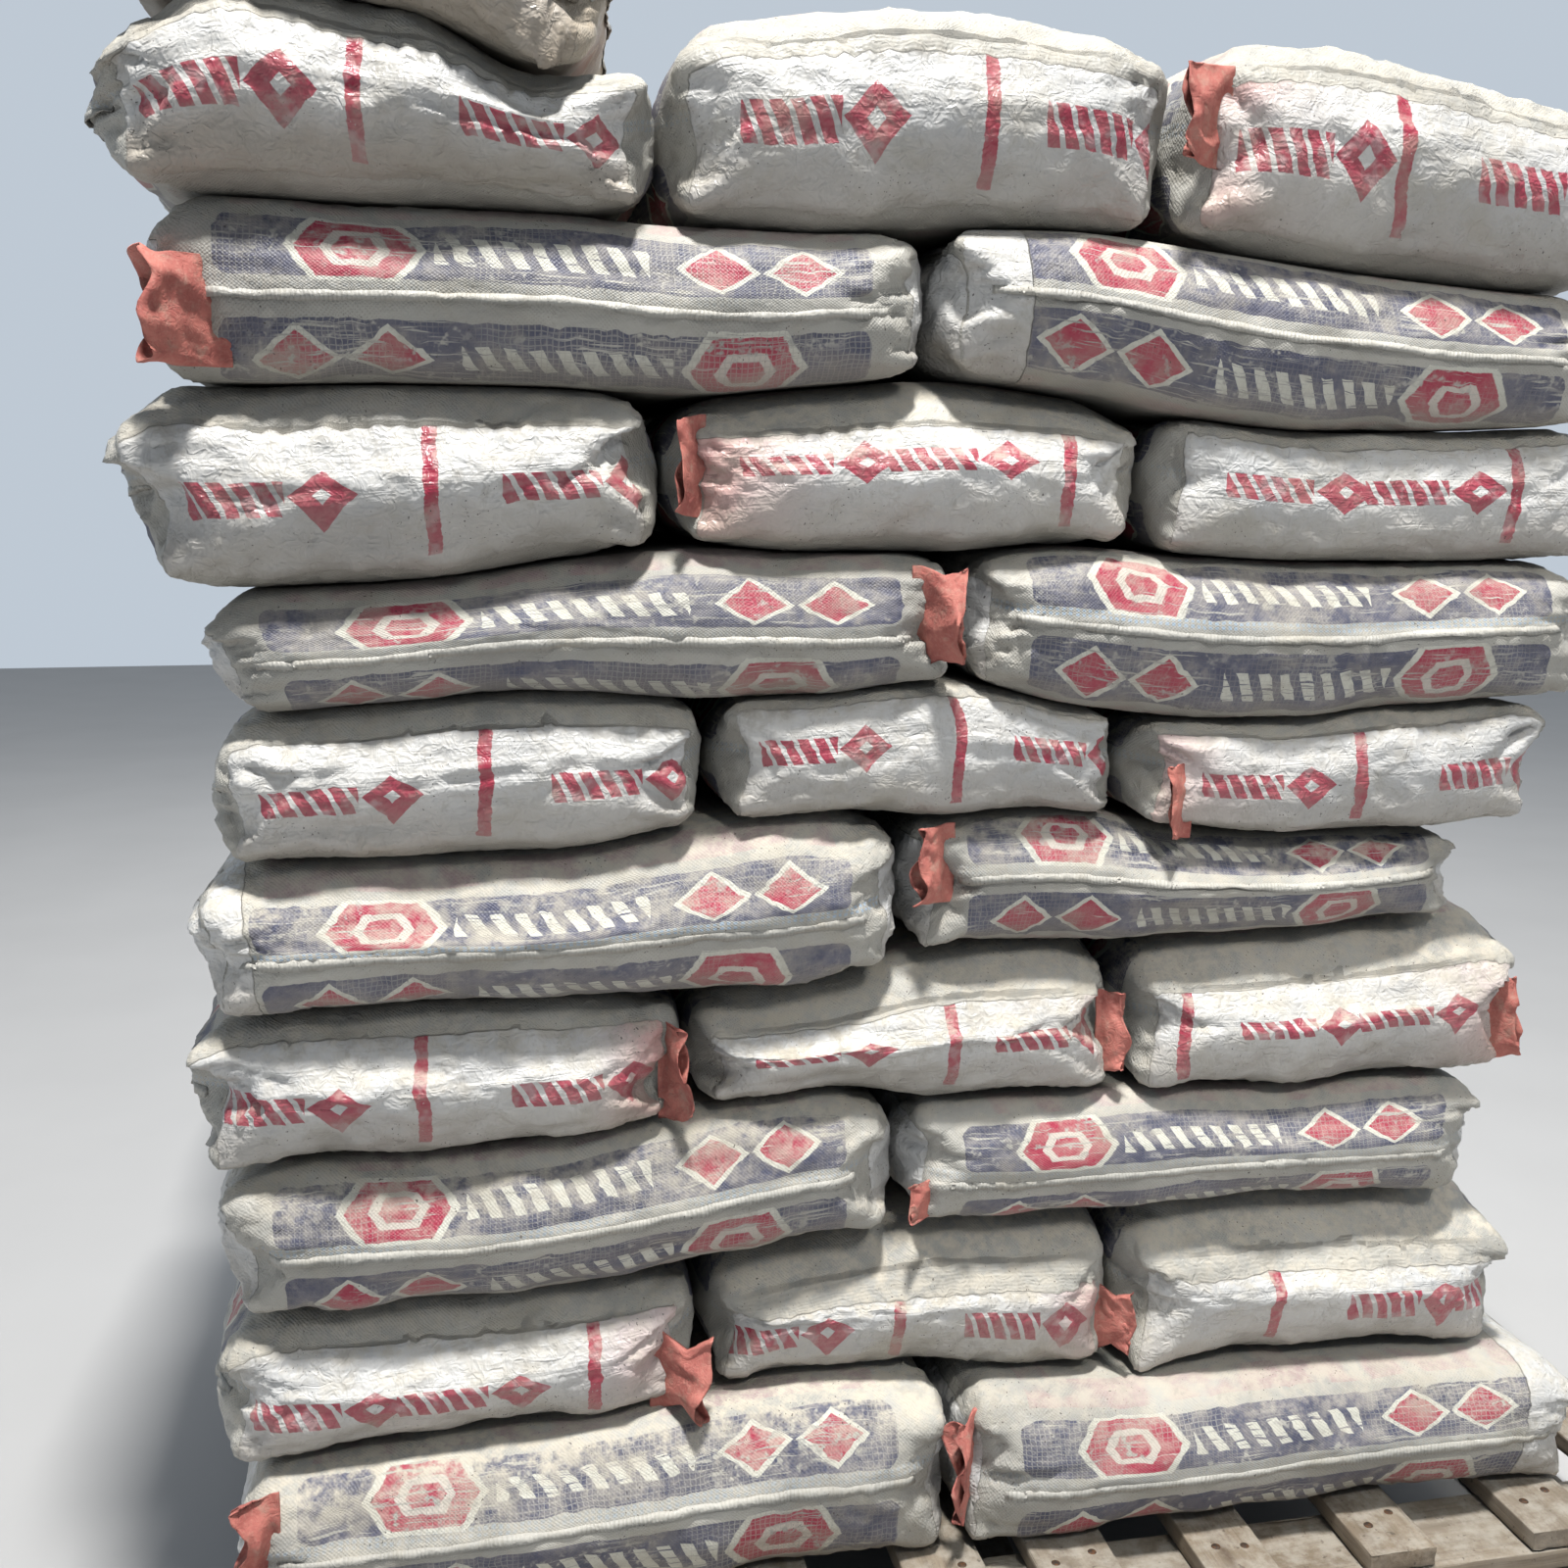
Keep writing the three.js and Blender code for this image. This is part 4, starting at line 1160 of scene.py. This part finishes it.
made = {}
for layer, edges, ys, opts in FRONT:
    n = len(ys)
    ends = "y" if n == 3 else "x"
    for k in range(n):
        side = SIDES[n][k]
        name = f"sack_{layer:02d}_{side}"
        show = ["front"] + (["left"] if k == 0 else []) + (["right"] if k == n - 1 else [])
        opt = dict(opts[k])
        if layer == 10:
            show.append("top")
            opt["thick"] = crest
        made[name] = make_sack(name, edges[k] + 0.0012, edges[k + 1] - 0.0012, ys[k],
                               0.620 if n == 3 else 0.415, layer, ends, nodes=(name,), show=tuple(show),
                               lean=(LEAN[layer][k], LEAN[layer][k + 1]), tris=18000 if layer < 10 else 24000, **opt)

# the hidden sacks behind, the other way round
for layer, edges, ys, opts in FRONT:
    front_n = len(ys)
    n = 5 - front_n
    ends = "y" if n == 3 else "x"
    ya = (0.620 if front_n == 3 else 0.415) + 0.006
    node = f"back_sacks_{layer:02d}"
    rng = np.random.default_rng(layer)
    xs = np.linspace(edges[0] + 0.0015, edges[-1] - 0.0015, n + 1)
    for k in range(n):
        show = ["back"] + (["left"] if k == 0 else []) + (["right"] if k == n - 1 else []) + (["top"] if layer == 10 else [])
        nm = f"back_sack_{layer:02d}_{SIDES[n][k]}"
        made[nm] = make_sack(nm, xs[k] + 0.0012, xs[k + 1] - 0.0012, ya, 1.040, layer, ends, nodes=(node,),
                             seed=layer * 100 + 50 + k, show=tuple(show), step=0.0085, tris=7000 if layer < 10 else 12000,
                             stripe=float(rng.uniform(-0.12, 0.12)), marks=(float(rng.uniform(-0.15, -0.09)), float(rng.uniform(0.07, 0.12))),
                             dusty=float(rng.uniform(0.6, 1.1)), pt=float(rng.uniform(0.03, 0.045)),
                             thick=crest if layer == 10 else None)


# the sack thrown on top, turned and tipped to the right
def on_top():
    turn, roll = math.radians(-4), math.radians(8)
    c0 = np.array([0.152, 0.286, 1.370])
    ct, st = math.cos(turn), math.sin(turn)

    def place(wx, wy, zeta, u, v):
        x, y = wx, wy
        z = np.maximum(zeta, -0.05) * 0.124
        z = z - 0.012 * np.clip(1 - (y + 0.300) / 0.10, 0, 1) ** 1.5 * smooth(0.3, 1, np.clip(zeta, 0, 1))
        # roll about Y, then turn about Z
        xr, zr = x * math.cos(roll) + z * math.sin(roll), -x * math.sin(roll) + z * math.cos(roll)
        gx = c0[0] + xr * ct - y * st
        gy = c0[1] + xr * st + y * ct
        gz = c0[2] + zr
        # sink at the front right into the valley between the two sacks, without entering them
        gz = gz - 0.040 * smooth(0.12, 0.34, gx) * smooth(0.24, 0.02, gy)
        bed = layer_z(10, gx) - dip(gx, gy) - 0.012 * smooth(0.05, 0.0, gy) - 0.008 * np.exp(-((gx - 0.379) / 0.03) ** 2)
        # filled with powder, it sags onto what lies under it
        under = c0[2] - x * math.sin(roll)
        gz = gz - 0.65 * np.clip(under - bed - 0.002, 0, 0.035)
        bed = np.where(gy < -0.016, -1.0, bed)
        low = np.clip(1 - zeta * 1.6, 0, 1)
        gz = np.where(low > 0, np.maximum(gz, bed + 0.0015 + np.clip(zeta, 0, 1) * 0.10), gz)
        return gx, gy, gz
    # its brown soil, tan and darker tone are partly dirt, partly painted shade and warm bounce light
    return make_sack("sack_on_top", -0.195, 0.195, -0.300, 0.300, 10, "y", nodes=("sack_on_top",), seed=1101,
                     show=("front", "left", "right", "top", "back"), stripe=-0.09, marks=(-0.16, 9.0), dusty=1.2, tan_and_shade=1.0, soil_and_shade=0.85, tone=-0.06,
                     pt=0.035, place=place, tris=30000, lump=1.3, swell=0)


made["sack_on_top"] = on_top()

# ------------------------------------------------------------------ sleeves and folded corners
V = made


def sleeve(info, xb, xm, z0, z1, seed=1, depth=0.012, stand=0.35, fan=0.0, pinch=0.0, crumple=1.0, sink=0.008, drop=0.0, out=0.004, bend=0.010, open_up=0.0):
    """A paper filling sleeve: a flattened, crumpled tube that leaves the sack's front at xb,
    its open mouth at xm. open_up parts the two leaves at the mouth into a V."""
    Q = info["Q"]
    zc, hz = (z0 + z1) / 2, (z1 - z0) / 2
    near = (np.abs(Q[:, 0] - xb) < 0.010) & (np.abs(Q[:, 2] - zc) < 0.030)
    y0 = float(np.percentile(Q[near, 1], 5)) if near.any() else 0.0
    rng = np.random.default_rng(seed * 7 + 3)
    n, m = 60, 19
    span = xm - xb
    sg = np.sign(span)
    th = np.linspace(0, 2 * math.pi, n, endpoint=False) + 0.01
    front = np.sign(np.cos(th)) * np.abs(np.cos(th)) ** 0.4
    vert = np.sign(np.sin(th)) * np.abs(np.sin(th)) ** 0.8
    ph = rng.uniform(0, 50, 4)
    lean = rng.uniform(-0.25, 0.25)

    def crumpled(a, b, k):
        """Sharp-edged facets: ridges of two scales over the leaf, in metres."""
        p = np.stack([a * 30 + ph[k], b * 24, np.full_like(a, ph[3 - k])], 1)
        q = np.stack([a * 85, b * 70 + ph[k], np.full_like(a, ph[k])], 1)
        return 0.0115 * (0.45 - np.abs(noise(p)) * 1.9) + 0.0038 * (0.4 - np.abs(noise(q)) * 2.0)
    fold_at = rng.uniform(-0.35, 0.35)
    shells = []
    for wall in (0.0, 1.0):
        rows = []
        for i in range(m):
            a = i / (m - 1) * 1.25 - 0.25
            aa = max(a, 0.0)
            xx = np.full(n, abs(span) * a)
            zz = vert * hz
            edge = noise(np.stack([np.full(n, ph[0]), zz * 26 + 0.6 * front, np.full(n, ph[1])], 1))
            g = np.where(front > 0, crumpled(xx, zz, 0), crumpled(xx, zz, 1)) * crumple * (0.35 + 0.65 * aa)
            # one fold up the leaf, and the mouth's edge cut ragged
            g = g + bend * crumple * (0.5 - np.abs(vert * 0.5 + aa - 0.5 + fold_at)) * (0.4 + 0.6 * aa)
            h = hz * (1 + fan * (2 * aa - 1)) * (1 - pinch * (1 - abs(2 * aa - 1)))
            h = h * (1 - 0.10 * aa * (1 + noise(np.array([[aa * 3, ph[2], 0.0]]))[0]))
            dep = front * (depth * (0.30 + 0.70 * aa) * 0.5 + open_up * aa * (1 - vert ** 2) * 0.5 - wall * 0.0006)
            y = y0 + sink * (1 - aa) - out * aa - stand * abs(span) * aa ** 1.1 - dep - g * np.abs(front)
            x = xb + span * a + sg * aa * (0.016 * edge * crumple - 0.010 * open_up / 0.03 * (1 - vert ** 2) * (front > 0))
            x = x + lean * 0.012 * aa * vert
            z = zc + vert * (h - wall * 0.0008) + 0.30 * g * np.sign(-vert) * aa - drop * aa * aa
            rows.append(np.stack([x, y, z], 1))
        shells.append(np.concatenate(rows))
    pts = np.concatenate(shells)
    fs = []
    for i in range(m - 1):
        for j in range(n):
            a, b = i * n + j, i * n + (j + 1) % n
            fs.append((a, b, b + n, a + n))
            a, b = a + m * n, b + m * n
            fs.append((a, a + n, b + n, b))
    for j in range(n):
        a, b = (m - 1) * n + j, (m - 1) * n + (j + 1) % n
        fs.append((a, b, b + m * n, a + m * n))
        a, b = j, (j + 1) % n
        fs.append((a, a + m * n, b + m * n, b))
    if span > 0:
        fs = [tuple(reversed(f)) for f in fs]
    ob = make_object(f"{info['name']}_valve", pts + O, fs, {}, PAPER)
    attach(ob, "root")
    return ob


sleeve(V["sack_09_left"], 0.030, -0.016, 1.084, 1.172, 2, depth=0.016, stand=0.45, fan=0.05, crumple=1.2, open_up=0.030)
sleeve(V["sack_10_right"], 0.860, 0.820, 1.266, 1.350, 3, depth=0.014, stand=0.20, crumple=1.0, bend=0.014)
sleeve(V["sack_08_middle"], 0.410, 0.388, 0.970, 1.056, 4, depth=0.008, stand=0.30, crumple=0.7)
sleeve(V["sack_07_left"], 0.602, 0.636, 0.842, 0.930, 5, depth=0.014, stand=0.45, pinch=0.10, crumple=1.2, bend=0.018, open_up=0.015)
sleeve(V["sack_06_right"], 0.858, 0.834, 0.678, 0.750, 6, depth=0.010, stand=0.25, crumple=0.8)
sleeve(V["sack_05_right"], 0.634, 0.602, 0.624, 0.698, 7, depth=0.012, stand=0.25, crumple=1.0)
sleeve(V["sack_04_left"], 0.374, 0.394, 0.436, 0.530, 8, depth=0.010, stand=0.50, crumple=1.0, bend=0.014)
sleeve(V["sack_04_middle"], 0.792, 0.812, 0.448, 0.530, 9, depth=0.008, stand=0.30, crumple=0.9)
sleeve(V["sack_04_right"], 1.196, 1.218, 0.440, 0.528, 10, depth=0.008, stand=0.10, crumple=0.7, out=0.002)
sleeve(V["sack_03_right"], 0.624, 0.600, 0.324, 0.362, 11, depth=0.010, stand=0.35, crumple=0.8)
sleeve(V["sack_02_left"], 0.366, 0.402, 0.152, 0.240, 12, depth=0.012, stand=0.55, pinch=0.35, fan=0.08, crumple=1.1, bend=0.016, open_up=0.012)
sleeve(V["sack_02_middle"], 0.800, 0.824, 0.160, 0.232, 13, depth=0.010, stand=0.40, pinch=0.25, crumple=1.0)
sleeve(V["sack_01_left"], 0.024, -0.004, 0.076, 0.144, 14, depth=0.014, stand=0.40, crumple=1.1, open_up=0.015)
sleeve(V["sack_01_right"], 0.660, 0.634, 0.046, 0.146, 15, depth=0.012, stand=0.60, fan=0.10, pinch=0.15, crumple=1.2, drop=0.008, bend=0.016)

ear(V["sack_10_middle"], -0.95, -0.98, 0.86, (-0.4, -0.4, 0.8), 0.026, 0.030, 1)
ear(V["sack_09_right"], -0.94, -0.97, 0.86, (-0.1, -0.5, 0.85), 0.030, 0.036, 3, 0.02)
ear(V["sack_04_left"], -0.97, -0.97, 0.86, (-0.5, -0.6, 0.6), 0.032, 0.040, 4, 0.02)
ear(V["sack_03_right"], 0.98, -0.97, 0.86, (0.8, -0.4, 0.4), 0.024, 0.030, 5)
ear(V["sack_02_left"], -0.97, -0.97, 0.85, (-0.8, -0.4, 0.3), 0.024, 0.032, 7)
ear(V["sack_01_left"], 0.97, -0.97, 0.88, (0.3, -0.6, 0.7), 0.020, 0.028, 9, 0.02)

for nm, info in made.items():
    if info["soup"].n:
        tr = info["soup"].object(f"{nm}_trim", SACK)
        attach(tr, "root")


# ------------------------------------------------------------------ pallet
def plank(node, seed, along):
    """A rough-sawn board in the place of its CAD solid, a little worn in from its faces."""
    lo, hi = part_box(node)
    lo, hi = np.array(lo), np.array(hi)
    c, half = (lo + hi) / 2, (hi - lo) / 2
    rng = np.random.default_rng(seed)
    ln = []
    for k in range(3):
        size = 2 * half[k]
        if k == along:
            n = max(6, int(size / 0.018))
        elif size > 0.05:
            n = max(6, int(size / 0.0085))
        else:
            n = 4
        mid = np.linspace(-1, 1, n + 1)
        e = 0.0022 / half[k]
        inner = mid * (1 - e)
        ln.append(np.concatenate([[-1, -1 + 0.3 * e], inner, [1 - 0.3 * e, 1]]) * half[k])
    P, F, idx = box_grid(*ln)
    p = rounded(P, half, min(0.0026, half.min() * 0.5), 2.0)
    off = np.array([seed * 3.1, seed * 1.9, seed * 0.7])
    f = np.full(3, 60.0)
    f[along] = 9.0
    N = normals(p, F)
    rough = 0.0004 * noise(p * f * 6 + off) + 0.0007 * noise(p * f + off) - 0.0009
    q = np.abs(p) / half
    others = [k for k in range(3) if k != along]
    corner = smooth(0.90, 1.0, q[:, others[0]]) * smooth(0.70, 1.0, q[:, others[1]])
    wane = -0.0045 * corner * smooth(0.15, 0.6, noise(np.stack([p[:, along] * 5, np.sign(p[:, others[0]]) * 3 + seed, np.sign(p[:, others[1]]) * 5], 1)))
    endf = smooth(0.985, 1.0, q[:, along]) * (-0.0016) * (0.5 + noise(p * 90 + off))
    p = p + N * (rough + wane + endf)[:, None]
    p = np.clip(p, -half + 0.0001, half - 0.0001)
    a = p[:, along] + seed * 2.7
    b, cc = p[:, others[0]] + seed * 0.31, p[:, others[1]] + seed * 0.17
    ob = make_object(f"{node}_board", p + c, F, dict(grain=np.stack([a, b, cc], 1)), WOOD)
    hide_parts(node)
    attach(ob, "root")
    return ob


seed = 1
for n in range(1, 10):
    plank(f"deck_slat_{n}", seed, 1)
    seed += 1
for r in ("front", "middle", "back"):
    plank(f"cross_board_{r}", seed, 0)
    seed += 1
    for sd in ("left", "middle", "right"):
        plank(f"block_{r}_{sd}", seed, 0)
        seed += 1
for sd in ("left", "middle", "right"):
    plank(f"skid_{sd}", seed, 1)
    seed += 1

nails = Soup()
rng = np.random.default_rng(77)
for n in range(1, 10):
    slo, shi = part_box(f"deck_slat_{n}")
    for r in ("front", "middle", "back"):
        clo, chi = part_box(f"cross_board_{r}")
        for kx in (0.30, 0.70):
            x = slo.x + (shi.x - slo.x) * (kx + rng.uniform(-0.06, 0.06))
            y = clo.y + (chi.y - clo.y) * (0.35 + 0.3 * rng.random())
            rad, m = 0.0046, 12
            prof = [(rad, -0.0022), (rad, 0.0002), (rad * 0.86, 0.0009), (rad * 0.45, 0.0012)]
            pts, fs = [], []
            for (rr, zz) in prof:
                for q in range(m):
                    w = 2 * math.pi * q / m
                    pts.append((x + rr * math.cos(w), y + rr * math.sin(w), shi.z - 0.0012 + zz))
            for i in range(len(prof) - 1):
                for q in range(m):
                    fs.append((i * m + q, i * m + (q + 1) % m, (i + 1) * m + (q + 1) % m, (i + 1) * m + q))
            fs.append(tuple((len(prof) - 1) * m + q for q in range(m)))
            fs.append(tuple(reversed(range(m))))
            nails.add(pts, fs)
nl = nails.object("pallet_nails", NAIL)
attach(nl, "root")

# ------------------------------------------------------------------ stage
floor_me = bpy.data.meshes.new("floor")
floor_me.from_pydata([(-9, -9, 0), (9, -9, 0), (9, 9, 0), (-9, 9, 0)], [], [(0, 1, 2, 3)])
floor = bpy.data.objects.new("floor", floor_me)
bpy.context.scene.collection.objects.link(floor)
fm = bpy.data.materials.new("floor")
FN = Nodes(fm)
fb = FN.new("ShaderNodeBsdfPrincipled")
fg = FN.new("ShaderNodeNewGeometry")
FN.put(fb.inputs["Base Color"], FN.mix(FN.noise(fg.outputs["Position"], 3.0, 3.0), (0.44, 0.44, 0.44), (0.49, 0.49, 0.49)))
fb.inputs["Roughness"].default_value = 0.85
FN.out(fb.outputs[0])
floor_me.materials.append(fm)

world = bpy.context.scene.world or bpy.data.worlds.new("world")
bpy.context.scene.world = world
world.use_nodes = True
wn = world.node_tree
bg = next((n for n in wn.nodes if n.type == "BACKGROUND"), None) or wn.nodes.new("ShaderNodeBackground")
bg.inputs[1].default_value = 1.0
sky = wn.nodes.new("ShaderNodeTexCoord")
part = wn.nodes.new("ShaderNodeSeparateXYZ")
wn.links.new(sky.outputs["Generated"], part.inputs[0])
fade = wn.nodes.new("ShaderNodeMapRange")            # the soft light comes mostly from behind the stack
fade.interpolation_type = "SMOOTHSTEP"
fade.inputs[1].default_value, fade.inputs[2].default_value = -0.25, 0.75
fade.inputs[3].default_value, fade.inputs[4].default_value = 0.0, 1.0
wn.links.new(part.outputs[1], fade.inputs[0])
tint = wn.nodes.new("ShaderNodeMix")
tint.data_type = "RGBA"
tint.inputs[6].default_value = (0.135, 0.150, 0.170, 1)
tint.inputs[7].default_value = (0.520, 0.585, 0.660, 1)
wn.links.new(fade.outputs[0], tint.inputs[0])
wn.links.new(tint.outputs[2], bg.inputs[0])
bpy.context.scene.view_settings.view_transform = "Standard"
# the gaps between the sacks are dark after the first bounces
bpy.context.scene.cycles.max_bounces = 2
bpy.context.scene.cycles.diffuse_bounces = 1
bpy.context.scene.cycles.glossy_bounces = 1


def area(name, loc, target, size, power, col=(1, 1, 1)):
    d = bpy.data.lights.new(name, "AREA")
    d.shape = "RECTANGLE"
    d.size, d.size_y = size
    d.energy = power
    d.color = col
    o = bpy.data.objects.new(name, d)
    bpy.context.scene.collection.objects.link(o)
    o.location = Vector(loc)
    o.rotation_mode = "QUATERNION"
    o.rotation_quaternion = (Vector(target) - Vector(loc)).to_track_quat("-Z", "Y")
    return o


cx = float(O[0]) + 0.62
area("key", (cx - 0.15, O[1] - 1.05, 5.9), (cx, O[1] + 0.15, 0.8), (0.45, 0.45), 465, (1.0, 0.978, 0.945))
low = area("fill_low", (cx + 0.75, O[1] - 2.3, 3.3), (cx + 0.40, O[1] + 0.05, 0.42), (0.6, 0.6), 2.4, (1.0, 0.98, 0.95))
low.data.spread = math.radians(42)
area("fill_left", (cx - 3.6, O[1] - 1.5, 2.0), (cx, O[1] + 0.4, 0.8), (2.5, 2.5), 10, (0.93, 0.96, 1.0))
area("fill_right", (cx + 3.6, O[1] - 0.5, 2.4), (cx, O[1] + 0.4, 0.8), (2.5, 2.5), 12, (1.0, 0.98, 0.95))
area("back", (cx + 0.5, O[1] + 4.2, 3.2), (cx, O[1] + 0.6, 0.8), (2.5, 2.5), 40, (1, 1, 1))

# ------------------------------------------------------------------ camera
R = Vector((0.98026363, -0.1976679, 0.00325854))
U = Vector((0.03283716, 0.17905368, 0.98329116))
Fw = Vector((0.19494855, 0.96377756, -0.18201066))
cam_d = bpy.data.cameras.new("camera")
cam = bpy.data.objects.new("camera", cam_d)
bpy.context.scene.collection.objects.link(cam)
M = Matrix((
    (R.x, U.x, -Fw.x, O[0] + 0.2062),
    (R.y, U.y, -Fw.y, O[1] - 1.3400),
    (R.z, U.z, -Fw.z, O[2] + 0.9977),
    (0, 0, 0, 1),
))
cam.matrix_world = M
cam_d.sensor_fit = "HORIZONTAL"
cam_d.sensor_width = 36.0
cam_d.lens = 37.045
cam_d.clip_start, cam_d.clip_end = 0.05, 60.0
cam_d.dof.use_dof = False
bpy.context.scene.camera = cam
